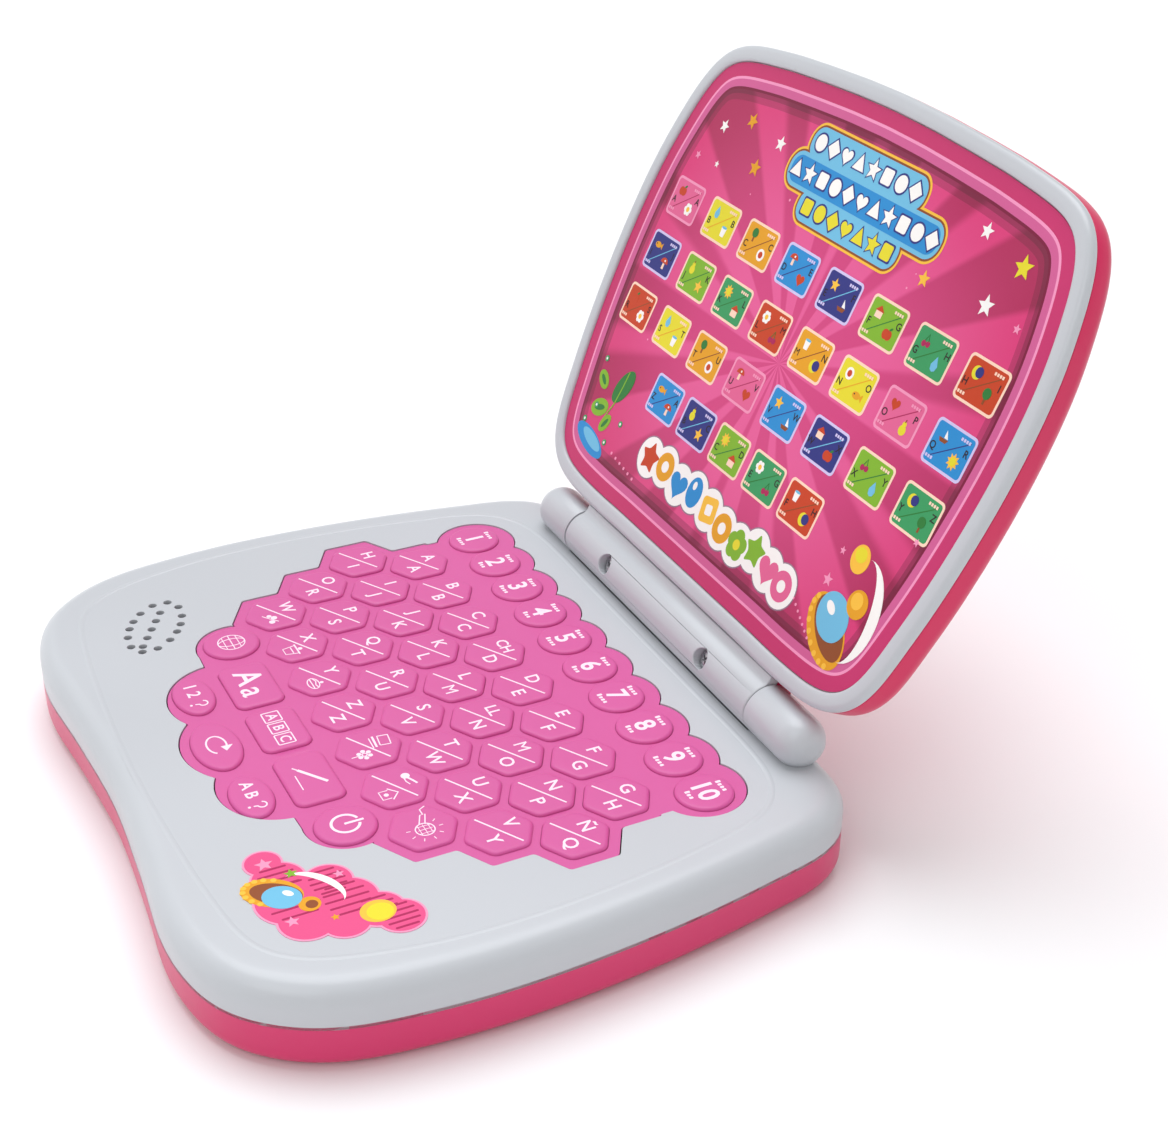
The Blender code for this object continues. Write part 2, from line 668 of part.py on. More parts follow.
def lid_back_shell():
    shell = slab("lid_back_shell", lid_loop, LID_BACK_Z, LID_SEAM_Z - FIT_GAP)
    round_edges(shell, rim_at(LID_BACK_Z), LID_BACK_RADIUS, 4)
    hollow = slab("hollow", inset(lid_loop, WALL), LID_BACK_Z + WALL, LID_SEAM_Z + 1)
    round_edges(hollow, rim_at(LID_BACK_Z + WALL), LID_BACK_RADIUS - WALL, 2)
    shell = cut(shell, hollow)
    thin_towards_top(shell)
    half, radius = BARREL_HALF_LENGTH, BARREL_RADIUS
    barrel = cylinder("barrel", radius, (-half, 0, 0), (half, 0, 0), 40)
    barrel = add(barrel, box("neck", (-half, 0, -6.5), (half, 11.0, 0.6)))
    room = half - BARREL_WALL
    barrel = cut(
        barrel,
        cylinder("barrel_room", radius - BARREL_WALL, (-room, 0, 0), (room, 0, 0), 40),
        box("neck_room", (-room, 0, -4.7), (room, 8.4, 2)),
        box("front_half", (-half - 1, -10, -0.15), (half + 1, 9.5, 10)),
    )
    shell = add(shell, barrel)
    for side in (-1, 1):
        low_x, high_x = sorted((side * (half - 1), side * (half + 5.5)))
        shell = add(shell, box("lug", (low_x, 8.3, -6.2), (high_x, 11.2, -0.15)))
        shell = add(shell, cylinder("pivot", PIVOT_RADIUS, (side * (half - 1.2), 0, 0),
                                    (side * PIVOT_END_X, 0, 0), 24))
        x = side * HINGE_SCREW_X
        shell = add(shell, cylinder("hinge_boss", 3.2, (x, 0, -6.6), (x, 0, -0.4)))
        shell = cut(shell, cylinder("hinge_pilot", 1.4, (x, 0, -5.4), (x, 0, 1), 16))
    return shell


def thin_towards_top(shell):
    """Brings the back closer to the face towards the lid's free edge."""
    top = PICTURE_TOP_Y + RIM_WIDTH
    for vertex in shell.data.vertices:
        depth = (LID_SEAM_Z * MM - vertex.co.z) / ((LID_SEAM_Z - LID_BACK_Z) * MM)
        up = max(0.0, vertex.co.y / (top * MM))
        vertex.co.z += LID_BACK_RISE * MM * max(0.0, depth) * up**1.5


def hinge_cover():
    half, radius = BARREL_HALF_LENGTH, BARREL_RADIUS
    cover = cylinder("hinge_cover", radius, (-half, 0, 0), (half, 0, 0), 40)
    cover = add(cover, box("cover_neck", (-half, 0, 0), (half, 9.2, 3.3)))
    room = half - BARREL_WALL
    cover = cut(
        cover,
        box("back_half", (-half - 1, -10, -10), (half + 1, 10, 0.15)),
        cylinder("cover_room", radius - BARREL_WALL, (-room, 0, 0), (room, 0, 0), 40),
        cylinder("pivot_notch", PIVOT_RADIUS + 0.3, (-half - 1, 0, 0), (half + 1, 0, 0), 24),
    )
    for side in (-1, 1):
        x = side * HINGE_SCREW_X
        cover = add(cover, cylinder("seat", 4.4, (x, 0, 0.15), (x, 0, 5.6)))
        cover = cut(cover, cylinder("head_well", 3.1, (x, 0, 3.4), (x, 0, 9)),
                    cylinder("screw_hole", 1.6, (x, 0, -1), (x, 0, 4), 16))
    return cover


# ----------------------------------------------------------------- assembly

def make_materials():
    made = {}
    for name, (colour, roughness, metallic) in MATERIALS.items():
        material = bpy.data.materials.new(name)
        material.use_nodes = True
        shader = material.node_tree.nodes["Principled BSDF"]
        shader.inputs["Base Color"].default_value = (*colour, 1)
        shader.inputs["Roughness"].default_value = roughness
        shader.inputs["Metallic"].default_value = metallic
        made[name] = material
    return made


def dress(thing, material):
    """Gives the piece its material, smooth round surfaces and sharp edges."""
    thing.data.materials.clear()
    thing.data.materials.append(materials[material])
    thing.data.shade_smooth()
    thing.data.set_sharp_from_angle(angle=math.radians(35))


def build_base():
    keys = moving_keys()
    dress(base_top_shell(), "white_plastic")
    dress(base_bottom_shell(), "pink_plastic")
    dress(battery_door(), "pink_plastic")
    dress(keypad_mat(keys), "pink_silicone")
    for name, loop in keys:
        dress(key_cap(name, loop), "pink_silicone")
    dress(circuit_board(), "circuit_board")
    dress(speaker(), "speaker_black")
    wire = [(-50, -24, 17.9), (-50.5, -28, 16.8), (-52, -33, 15.0), (-55, -38, 13.8),
            (-59, -43, 13.2), (-63, -48, 13.0)]
    dress(tube("speaker_wire", wire, 0.6), "wire_red")
    for index in range(3):
        dress(battery(index), "battery_wrap")
    dress(battery_contact("battery_contact_left", -1), "steel")
    dress(battery_contact("battery_contact_right", 1), "steel")
    dress(base_sticker(), "sticker")
    for i, (x, y) in enumerate(CASE_SCREWS):
        dress(screw(f"case_screw_{i + 1}", (x, y, 5.5), (0, 0, -1), 2.7, 1.1, 13.5), "steel")
    dress(screw("battery_door_screw", (0, DOOR_SCREW_Y, 2.6), (0, 0, -1), 2.7, 1.1, 11.5), "steel")


def build_lid():
    hinge = bpy.data.objects.new("lid_hinge", None)
    parts.objects.link(hinge)
    hinge.location = (0, HINGE_Y * MM, HINGE_Z * MM)
    hinge.rotation_euler = (LID_ANGLE, 0, 0)
    pieces = [
        (lid_front_shell(), "white_plastic"), (lid_back_shell(), "pink_plastic"),
        (lid_picture_panel(), "printed_panel"), (hinge_cover(), "white_plastic"),
        (screw("hinge_screw_left", (-HINGE_SCREW_X, 0, 5.3), (0, 0, 1), 2.7, 1.1, 9.5), "steel"),
        (screw("hinge_screw_right", (HINGE_SCREW_X, 0, 5.3), (0, 0, 1), 2.7, 1.1, 9.5), "steel"),
    ]
    for piece, material in pieces:
        dress(piece, material)
        piece.parent = hinge


for leftover in list(bpy.data.objects):
    bpy.data.objects.remove(leftover)
parts = new_collection("toy_laptop")
cutters = new_collection("cutters")
materials = make_materials()
base_loop = smooth_loop(mirrored(BASE_HALF_OUTLINE, (0, BASE_BACK_Y)), 3)
picture_loop = smooth_loop(mirrored(PICTURE_HALF_OUTLINE, (0, PICTURE_TOP_Y)), 2)
lid_loop = inset(picture_loop, -RIM_WIDTH)
build_base()
build_lid()
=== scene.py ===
"""Looks of the toy laptop: smooth shells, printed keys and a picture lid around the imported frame."""

import json
import math
import random

import bmesh
import bpy
from mathutils import Matrix, Vector


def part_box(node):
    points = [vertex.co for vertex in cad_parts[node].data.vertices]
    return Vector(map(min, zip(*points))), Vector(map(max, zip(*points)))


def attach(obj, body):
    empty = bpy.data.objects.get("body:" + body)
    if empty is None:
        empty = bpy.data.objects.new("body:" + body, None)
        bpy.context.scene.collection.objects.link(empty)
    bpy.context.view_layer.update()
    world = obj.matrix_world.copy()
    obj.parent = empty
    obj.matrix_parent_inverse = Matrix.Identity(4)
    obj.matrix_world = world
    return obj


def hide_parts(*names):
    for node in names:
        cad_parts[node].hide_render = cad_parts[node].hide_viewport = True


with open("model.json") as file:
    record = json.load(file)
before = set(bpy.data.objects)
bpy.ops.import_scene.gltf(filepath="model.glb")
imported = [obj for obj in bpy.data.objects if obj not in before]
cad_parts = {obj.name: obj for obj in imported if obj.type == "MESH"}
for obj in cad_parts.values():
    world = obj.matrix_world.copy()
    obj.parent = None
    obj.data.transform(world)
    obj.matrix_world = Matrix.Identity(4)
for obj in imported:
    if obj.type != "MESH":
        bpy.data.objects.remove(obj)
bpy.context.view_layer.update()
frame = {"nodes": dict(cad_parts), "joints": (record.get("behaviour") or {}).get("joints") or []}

MM = 0.001
TAU = 2 * math.pi
random.seed(7)


def box_mm(node):
    low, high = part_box(node)
    return low / MM, high / MM


def middle_mm(node):
    low, high = box_mm(node)
    return (low + high) / 2


# ------------------------------------------------------------ sizes, in mm
FACE_Z = 24.0
KEY_TOP_Z = box_mm("key_a")[1].z
MAT_TOP_Z = 23.7
KEY_FOOT_Z = 22.8
KEY_POCKET_Z = 21.2
SEAM_TOP_Z = box_mm("base_top_shell")[0].z
LID_ANGLE = math.radians(64.2)
HINGE = Vector(next(j for j in frame["joints"] if j["name"] == "lid_hinge")["pos_m"]) / MM
LID_FRAME = Matrix.Translation(HINGE * MM) @ Matrix.Rotation(LID_ANGLE, 4, "X")
RIM_WIDTH = 4.9
RIM_Z = 4.7
PICTURE_Z = 3.8
LID_SEAM_Z = 2.35
LID_BACK_Z = -8.8
LID_BACK_RISE = 2.6
BARREL_RADIUS = 7.35
BARREL_HALF = 54.3
KNUCKLE_IN_X = 54.8
KNUCKLE_OUT_X = 77.0


# ------------------------------------------------------------------ colours
def rgb(red, green, blue):
    """Linear colour from display values of 0 to 255."""
    linear = [(c / 255 / 12.92) if c <= 10 else ((c / 255 + 0.055) / 1.055) ** 2.4
              for c in (red, green, blue)]
    return (*linear, 1.0)


def lighter(colour, amount):
    return (*[min(1.0, c * amount) for c in colour[:3]], 1.0)


class Graph:
    """A short way to add and join shader nodes."""

    def __init__(self, name):
        self.material = bpy.data.materials.new(name)
        self.material.use_nodes = True
        self.tree = self.material.node_tree
        self.shader = self.tree.nodes["Principled BSDF"]

    def node(self, kind, settings=None, **inputs):
        made = self.tree.nodes.new("ShaderNode" + kind)
        for key, value in (settings or {}).items():
            setattr(made, key, value)
        for key, value in inputs.items():
            self.feed(made.inputs[key.replace("_", " ")], value)
        return made

    def feed(self, socket, value):
        if hasattr(value, "links"):
            self.tree.links.new(value, socket)
        else:
            socket.default_value = value

    def math(self, operation, *values):
        made = self.tree.nodes.new("ShaderNodeMath")
        made.operation = operation
        for socket, value in zip(made.inputs, values):
            self.feed(socket, value)
        return made.outputs[0]

    def mix(self, factor, first, second):
        made = self.tree.nodes.new("ShaderNodeMix")
        made.data_type = "RGBA"
        self.feed(made.inputs[0], factor)
        self.feed(made.inputs[6], first)
        self.feed(made.inputs[7], second)
        return made.outputs[2]

    def noise(self, scale, detail):
        place = self.node("TexCoord").outputs["Object"]
        return self.node("TexNoise", Scale=scale, Detail=detail, Vector=place).outputs["Fac"]

    def ramp(self, value, low=0.0, high=1.0, span=(0.2, 0.8)):
        """A smooth change from low to high while the value crosses the span."""
        made = self.node("MapRange", {"interpolation_type": "SMOOTHSTEP"}, Value=value,
                         From_Min=span[0], From_Max=span[1], To_Min=low, To_Max=high)
        return made.outputs[0]


def moulded(name, colour, rough, grain, bump, tint, subsurface=0.0, specular=0.5):
    """Moulded or printed stuff: slight colour drift, uneven gloss and a fine grain."""
    g = Graph(name)
    drift = g.ramp(g.noise(14.0, 0.0))
    g.feed(g.shader.inputs["Base Color"],
           g.mix(drift, lighter(colour, 1 - tint), lighter(colour, 1 + tint)))
    g.feed(g.shader.inputs["Roughness"], g.ramp(g.noise(24.0, 0.0), *rough))
    raised = g.node("Bump", Strength=bump, Distance=0.0002, Height=g.noise(grain, 1.0))
    g.feed(g.shader.inputs["Normal"], raised.outputs[0])
    g.shader.inputs["Specular IOR Level"].default_value = specular
    if subsurface:
        g.shader.inputs["Subsurface Weight"].default_value = subsurface
        g.shader.inputs["Subsurface Radius"].default_value = (0.004, 0.0015, 0.002)
        g.shader.inputs["Subsurface Scale"].default_value = 0.6
    return g.material


def printed_picture(name, gain=1.0):
    """Magenta print: a burst of soft rays about the middle, darker to the corners."""
    g = Graph(name)
    split = g.node("SeparateXYZ", Vector=g.node("TexCoord").outputs["Object"])
    x = g.math("SUBTRACT", split.outputs[0], 0.001)
    y = g.math("SUBTRACT", split.outputs[1], 0.080)
    turn = g.math("ARCTAN2", y, x)
    reach = g.math("SQRT", g.math("ADD", g.math("MULTIPLY", x, x),
                                  g.math("MULTIPLY", g.math("MULTIPLY", y, y), 1.5)))
    wave = g.math("SINE", g.math("MULTIPLY", turn, 17.0))
    wave = g.math("ADD", wave, g.math("MULTIPLY", g.math("SINE", g.math("MULTIPLY", turn, 7.0)), 0.7))
    ray = g.ramp(wave, span=(-0.3, 0.3))
    far = g.ramp(reach, span=(0.03, 0.105))
    light = g.mix(far, lighter(rgb(226, 92, 150), gain), lighter(rgb(210, 48, 112), gain))
    dark = g.mix(far, lighter(rgb(208, 66, 126), gain), lighter(rgb(166, 24, 78), gain))
    mottle = g.ramp(g.noise(20.0, 0.0))
    burst = g.mix(ray, dark, light)
    g.feed(g.shader.inputs["Base Color"], g.mix(g.math("MULTIPLY", mottle, 0.07), burst,
                                                rgb(235, 130, 170)))
    g.feed(g.shader.inputs["Roughness"], g.ramp(g.noise(80.0, 1.0), 0.30, 0.36))
    g.shader.inputs["Specular IOR Level"].default_value = 0.22
    return g.material


def steel(name):
    """Brushed metal."""
    g = Graph(name)
    stretch = g.node("Mapping", Vector=g.node("TexCoord").outputs["Object"], Scale=(1.0, 9.0, 1.0))
    brush = g.node("TexNoise", Scale=900.0, Detail=4.0, Vector=stretch.outputs[0]).outputs["Fac"]
    g.feed(g.shader.inputs["Base Color"], g.mix(brush, rgb(150, 150, 155), rgb(215, 215, 218)))
    g.feed(g.shader.inputs["Roughness"], g.ramp(brush, 0.18, 0.38))
    g.shader.inputs["Metallic"].default_value = 1.0
    return g.material


def ink(name, *colour):
    """A printed colour with the picture's gloss, made once."""
    key = "ink_" + name
    if key not in PAINTS:
        PAINTS[key] = moulded(key, rgb(*colour), PRINT_GLOSS, 350, 0.01, 0.05, specular=0.25)
    return key


PRINT_GLOSS = (0.30, 0.36)
SHELL_GLOSS = (0.29, 0.34)
PAINTS = {
    "picture": printed_picture("picture"),
    "picture_shade": printed_picture("picture_shade", 0.42),
    "picture_dusk": printed_picture("picture_dusk", 0.68),
    "steel": steel("steel"),
}
for paint, colour, rough, grain, bump, tint, subsurface, specular in (
        ("shell_white", (192, 195, 200), SHELL_GLOSS, 1500, 0.006, 0.02, 0.0, 0.5),
        ("shell_pink", (210, 48, 104), SHELL_GLOSS, 1500, 0.006, 0.02, 0.0, 0.4),
        ("lid_pink", (208, 36, 88), PRINT_GLOSS, 1500, 0.006, 0.02, 0.0, 0.35),
        ("silicone", (208, 84, 154), (0.42, 0.50), 1100, 0.02, 0.02, 0.08, 0.5),
        ("key_print", (252, 226, 240), (0.35, 0.5), 900, 0.02, 0.02, 0.0, 0.5),
        ("band_pink", (196, 48, 106), PRINT_GLOSS, 300, 0.01, 0.04, 0.0, 0.25),
        ("band_light", (240, 150, 190), PRINT_GLOSS, 300, 0.01, 0.04, 0.0, 0.25),
        ("band_mauve", (206, 92, 146), PRINT_GLOSS, 300, 0.01, 0.04, 0.0, 0.25),
        ("band_dark", (120, 14, 56), PRINT_GLOSS, 300, 0.01, 0.04, 0.0, 0.25),
        ("board_green", (40, 110, 60), (0.35, 0.5), 500, 0.1, 0.1, 0.0, 0.5),
        ("cell_wrap", (60, 80, 150), (0.3, 0.4), 500, 0.02, 0.05, 0.0, 0.5),
        ("speaker_paper", (22, 22, 24), (0.7, 0.9), 700, 0.2, 0.1, 0.0, 0.1),
        ("wire_red", (190, 30, 30), (0.4, 0.5), 700, 0.03, 0.04, 0.0, 0.5)):
    PAINTS[paint] = moulded(paint, rgb(*colour), rough, grain, bump, tint, subsurface, specular)


# ----------------------------------------------------------------- outlines
def turned(point, angle):
    return Vector((point.x * math.cos(angle) - point.y * math.sin(angle),
                   point.x * math.sin(angle) + point.y * math.cos(angle)))


def polygon(x, y, radius, sides, start=90.0, stretch=1.0, turn=0.0):
    centre = Vector((x, y))
    loop = [Vector((radius * math.cos(a), radius * stretch * math.sin(a)))
            for a in (math.radians(start + 360 * k / sides) for k in range(sides))]
    return [centre + turned(p, math.radians(turn)) for p in loop]


def star(x, y, radius, points=5, depth=0.45, turn=0.0):
    loop = []
    for k in range(2 * points):
        angle = math.radians(90 + turn + 180 * k / points)
        size = radius if k % 2 == 0 else radius * depth
        loop.append(Vector((x + size * math.cos(angle), y + size * math.sin(angle))))
    return loop


def rounded_rectangle(x, y, half_x, half_y, radius, steps=6, turn=0.0):
    loop = []
    for side_x, side_y, start in ((1, 1, 0), (-1, 1, 90), (-1, -1, 180), (1, -1, 270)):
        centre = Vector((side_x * (half_x - radius), side_y * (half_y - radius)))
        for k in range(steps + 1):
            angle = math.radians(start + 90 * k / steps)
            loop.append(centre + Vector((math.cos(angle), math.sin(angle))) * radius)
    return [Vector((x, y)) + turned(p, math.radians(turn)) for p in loop]


def heart(x, y, size, turn=0.0):
    loop = []
    for k in range(28):
        t = -TAU * k / 28
        px = 16 * math.sin(t) ** 3
        py = 13 * math.cos(t) - 5 * math.cos(2 * t) - 2 * math.cos(3 * t) - math.cos(4 * t)
        loop.append(Vector((x, y)) + turned(Vector((px, py)) * size / 16, math.radians(turn)))
    return loop


def inset(loop, distance):
    """The loop moved inwards along its normals; loops run counterclockwise."""
    if not distance:
        return loop
    count = len(loop)
    moved = []
    for i, point in enumerate(loop):
        before, after = loop[i - 1], loop[(i + 1) % count]
        a = (point - before).normalized()
        b = (after - point).normalized()
        normal = Vector((-(a.y + b.y), a.x + b.x))
        length = normal.length
        moved.append(point + normal / length * distance / max(0.5, length / 2))
    return moved


def edges_of(loop):
    return zip(loop, loop[1:] + loop[:1])


def crossings(start, end, loop):
    """Where, from 0 at start to 1 at end, a segment crosses a loop's edges."""
    along = end - start
    found = []
    for a, b in edges_of(loop):
        edge = b - a
        slope = along.cross(edge)
        if abs(slope) > 1e-9:
            here, there = (a - start).cross(edge) / slope, (a - start).cross(along) / slope
            if 0 < here < 1 and 0 <= there <= 1:
                found.append(here)
    return found


def within(point, loop):
    return all((b - a).cross(point - a) > 0 for a, b in edges_of(loop))


def reaches(one, other):
    spans = [(min(p[k] for p in loop), max(p[k] for p in loop))
             for k in (0, 1) for loop in (one, other)]
    return all(a[0] < b[1] and b[0] < a[1] for a, b in (spans[:2], spans[2:]))


def outer_outline(cells):
    """The outside of overlapping convex counterclockwise cells, as one loop."""
    kept = []
    for cell in cells:
        near = [c for c in cells if c is not cell and reaches(c, cell)]
        for start, end in edges_of(cell):
            marks = sorted({0.0, 1.0}.union(*(crossings(start, end, c) for c in near)))
            for low, high in zip(marks, marks[1:]):
                if not any(within(start.lerp(end, (low + high) / 2), c) for c in near):
                    kept.append((start.lerp(end, low), start.lerp(end, high)))
    piece = min(kept, key=lambda p: p[0].x)
    loop = []
    while piece is not None:
        kept.remove(piece)
        loop.append(piece[0])
        following = min(kept, key=lambda p: (p[0] - piece[1]).length, default=None)
        closed = (loop[0] - piece[1]).length < 1e-3
        piece = None if closed else following
    return [b for a, b in edges_of(loop) if (b - a).length > 0.02]


def blurred(loop, reach):
    """Points averaged with their neighbours, sharpened once so corners keep their place."""
    count = len(loop)
    weights = [math.exp(-0.5 * (k / reach) ** 2) for k in range(-3 * reach, 3 * reach + 1)]
    total = sum(weights)

    def once(points):
        return [sum((points[(i + k - 3 * reach) % count] * w for k, w in enumerate(weights)),
                    Vector((0, 0))) / total for i in range(count)]

    soft = once(loop)
    return [a * 2 - b for a, b in zip(soft, once(soft))]


def node_outline(node, height, matrix=None, count=440, reach=3, middle=(0, 0)):
    """A CAD node's outer outline at one height, found by casting rays at its mesh."""
    thing = frame["nodes"][node]
    matrix = matrix or Matrix.Identity(4)
    back = matrix.inverted()
    loop = []
    for k in range(count):
        way = Vector((math.cos(TAU * k / count), math.sin(TAU * k / count), 0))
        centre = Vector((middle[0] * MM, middle[1] * MM, height * MM))
        start = matrix @ (centre + way * 0.4)
        local = back @ thing.ray_cast(start, matrix.to_3x3() @ -way)[1]
        loop.append(Vector((local.x, local.y)) / MM)
    return blurred(loop, reach)


# --------------------------------------------------------------- mesh making
def loft(edit, rings, material=0, closed=False):
    """Faces between rings of points. Rings run counterclockwise seen from the last one's side."""
    made = [[edit.verts.new(p) for p in ring] for ring in rings]
    pairs = list(zip(made, made[1:]))
    if closed:
        pairs.append((made[-1], made[0]))
    for low, high in pairs:
        count = len(low)
        for i in range(count):
            j = (i + 1) % count
            edit.faces.new((low[i], low[j], high[j], high[i])).material_index = material
    if not closed:
        edit.faces.new(reversed(made[0])).material_index = material
        edit.faces.new(made[-1]).material_index = material


def at(loop, z):
    return [Vector((p.x, p.y, z)) for p in loop]


def rings_of(loop, profile):
    """Rings of one outline at (inset, height) pairs."""
    return [at(inset(loop, d), z) for d, z in profile]


def plate(edit, loop, low, high, material=0):
    loft(edit, [at(loop, low), at(loop, high)], material)


def quarter_turn(steps):
    """Angles from 0 to 90 degrees, in radians."""
    return [math.pi / 2 * k / steps for k in range(steps + 1)]


def quarter(radius, steps, top=0.0):
    """(inset, height) pairs of a rounded edge that ends at the top height."""
    return [(radius * (1 - math.cos(a)), top - radius + radius * math.sin(a))
            for a in quarter_turn(steps)]


LIFTS = [0]


def lift():
    """A hair of extra height, different for each print, so that crossing prints never share a face."""
    LIFTS[0] = (LIFTS[0] + 1) % 17
    return LIFTS[0] * 0.0009


def ribbon(edit, points, width, low, high, material=0):
    """A flat stroke along points, with square ends."""
    high += lift()
    line = [Vector(p) for p in points]
    left, right = [], []
    for i, p in enumerate(line):
        way = (line[min(i + 1, len(line) - 1)] - line[max(i - 1, 0)]).normalized()
        side = Vector((-way.y, way.x)) * width / 2
        left.append(p + side)
        right.append(p - side)
    plate(edit, right + left[::-1], low, high, material)


def ring_band(edit, outer, inner, low, high, material=0):
    """A flat closed band between two outlines of the same number of points."""
    high += lift()
    loft(edit, [at(outer, low), at(outer, high), at(inner, high), at(inner, low)], material,
         closed=True)


def words(edit, text, size, x, y, low, high, material, weight):
    """Letters or digits as a thin raised print, centred on a place."""
    curve = bpy.data.curves.new("print", "FONT")
    curve.body = text
    curve.size = size
    curve.align_x, curve.align_y = "CENTER", "CENTER"
    curve.offset = 0.0 if "M" in text else weight
    curve.resolution_u = 3
    thing = bpy.data.objects.new("print", curve)
    bpy.context.scene.collection.objects.link(thing)
    bpy.context.view_layer.update()
    graph = bpy.context.evaluated_depsgraph_get()
    mesh = bpy.data.meshes.new_from_object(thing.evaluated_get(graph))
    bpy.data.objects.remove(thing)
    glyphs = bmesh.new()
    glyphs.from_mesh(mesh)
    bmesh.ops.remove_doubles(glyphs, verts=glyphs.verts, dist=1e-4)
    raised = bmesh.ops.extrude_face_region(glyphs, geom=list(glyphs.faces), use_keep_orig=True)
    for part in raised["geom"]:
        if isinstance(part, bmesh.types.BMVert):
            part.co.z += high - low
    bmesh.ops.recalc_face_normals(glyphs, faces=glyphs.faces)
    for face in glyphs.faces:
        face.material_index = material
    glyphs.transform(Matrix.Translation((x, y, low)))
    glyphs.to_mesh(mesh)
    glyphs.free()
    edit.from_mesh(mesh)
    bpy.data.meshes.remove(mesh)


def new_object(name, edit, matrix=None):
    """A mesh object from millimetre geometry, placed by a matrix in metres."""
    mesh = bpy.data.meshes.new(name)
    bmesh.ops.recalc_face_normals(edit, faces=edit.faces)
    edit.to_mesh(mesh)
    edit.free()
    mesh.transform(Matrix.Scale(MM, 4))
    thing = bpy.data.objects.new(name, mesh)
    bpy.context.scene.collection.objects.link(thing)
    if matrix is not None:
        thing.matrix_world = matrix
    return thing


def finished(thing, body, paints, replaces=(), angle=35.0):
    """Materials, smooth shading and the piece's place on a body."""
    for paint in paints:
        thing.data.materials.append(PAINTS[paint])
    thing.data.shade_smooth()
    thing.data.set_sharp_from_angle(angle=math.radians(angle))
    for face in thing.data.polygons:
        if len(face.vertices) > 4:
            face.use_smooth = False
    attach(thing, body)
    if replaces:
        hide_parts(*replaces)
    return thing


def applied(thing):
    """The object with its modifiers made into its mesh."""
    bpy.context.view_layer.update()
    graph = bpy.context.evaluated_depsgraph_get()
    mesh = bpy.data.meshes.new_from_object(thing.evaluated_get(graph))
    thing.modifiers.clear()
    thing.data = mesh
    return thing


def combine(thing, edit, operation):
    """Boolean with millimetre geometry in the same local frame."""
    tool = new_object("tool", edit, thing.matrix_world.copy())
    modifier = thing.modifiers.new("cut", "BOOLEAN")
    modifier.operation = operation
    modifier.object = tool
    modifier.solver = "EXACT"
    applied(thing)
    bpy.data.objects.remove(tool)
    return thing


def softened(thing, width, segments=2, angle=40.0, clamp=True):
    """Small rounding of the sharp edges left by the cuts."""
    modifier = thing.modifiers.new("soft", "BEVEL")
    modifier.width = width * MM
    modifier.segments = segments
    modifier.limit_method = "ANGLE"
    modifier.angle_limit = math.radians(angle)
    modifier.use_clamp_overlap = clamp
    return applied(thing)


def rod(edit, radius, start, end, sides):
    """A round bar between two points, with flat ends."""
    start, end = Vector(start), Vector(end)
    axis = (end - start).normalized()
    side = axis.orthogonal().normalized()
    other = axis.cross(side)
    loop = [side * math.cos(a) + other * math.sin(a)
            for a in (TAU * k / sides for k in range(sides))]
    loft(edit, [[p + v * radius for v in loop] for p in (start, end)])


def with_rods(thing, operation, radius, sides, spans):
    """Adds or cuts round bars, each given by its two end points."""
    edit = bmesh.new()
    for start, end in spans:
        rod(edit, radius, start, end, sides)
    return combine(thing, edit, operation)


def with_plates(thing, operation, loops, low, high):
    """Adds or cuts upright slabs, one for each outline."""
    edit = bmesh.new()
    for loop in loops:
        plate(edit, loop, low, high)
    return combine(thing, edit, operation)


# --------------------------------------------------------------- key layout
NUMBER_KEYS = [f"key_number_{i:02d}" for i in range(1, 11)]
ROW_KEYS = [[f"key_{c}" for c in row] for row in ("abcdefgh", "ijklmnopq")]
FUNCTION_KEYS = ["key_language", "key_letter", "key_word", "key_spell", "key_power",
                 "key_number_quiz", "key_repeat", "key_letter_quiz"]
HEX_RADIUS = (box_mm("key_a")[1].y - box_mm("key_a")[0].y) / 2
PITCH = middle_mm("key_b").x - middle_mm("key_a").x
ROW_STEP = middle_mm("key_a").y - middle_mm("key_i").y


def lattice_rows():
    """Centres of the four rows of six-sided keys."""
    rows = [[middle_mm(k).xy for k in row] for row in ROW_KEYS]
    first = rows[0][0]
    rows.append([first + Vector((i * PITCH, -2 * ROW_STEP)) for i in range(8)])
    rows.append([first + Vector(((i + 0.5) * PITCH, -3 * ROW_STEP)) for i in range(7)])
    return rows


def opening_cells(grow):
    """The keypad's opening as overlapping cells, grown by some millimetres."""
    hex_radius = (11.7 + grow) / math.cos(math.radians(30))
    cells = [polygon(p.x, p.y, hex_radius, 6) for row in lattice_rows() for p in row]
    for k in NUMBER_KEYS:
        place = middle_mm(k)
        cells.append(polygon(max(-71.8, min(71.8, place.x)), place.y, 12.4 + grow, 64))
    for x, y, radius in ((-45.4, -34.9, 11.6), (45.4, -34.9, 11.6), (-21.9, -44.6, 16.9),
                         (21.9, -44.6, 16.9), (0.6, -44.6, 19.9)):
        cells.append(polygon(x, y, radius + grow, 80))
    bow = [(0, -47.4), (17, -47.2), (36, -46.7), (45.6, -46.3), (46.0, -24)]
    whole = bow + [(0, -22)] + [(-x, y) for x, y in reversed(bow[1:])]
    cells.append(inset([Vector(p) for p in whole], -grow))
    cells.append(rounded_rectangle(0, 39.0, 77.4, 5.0, 2.0))
    return cells


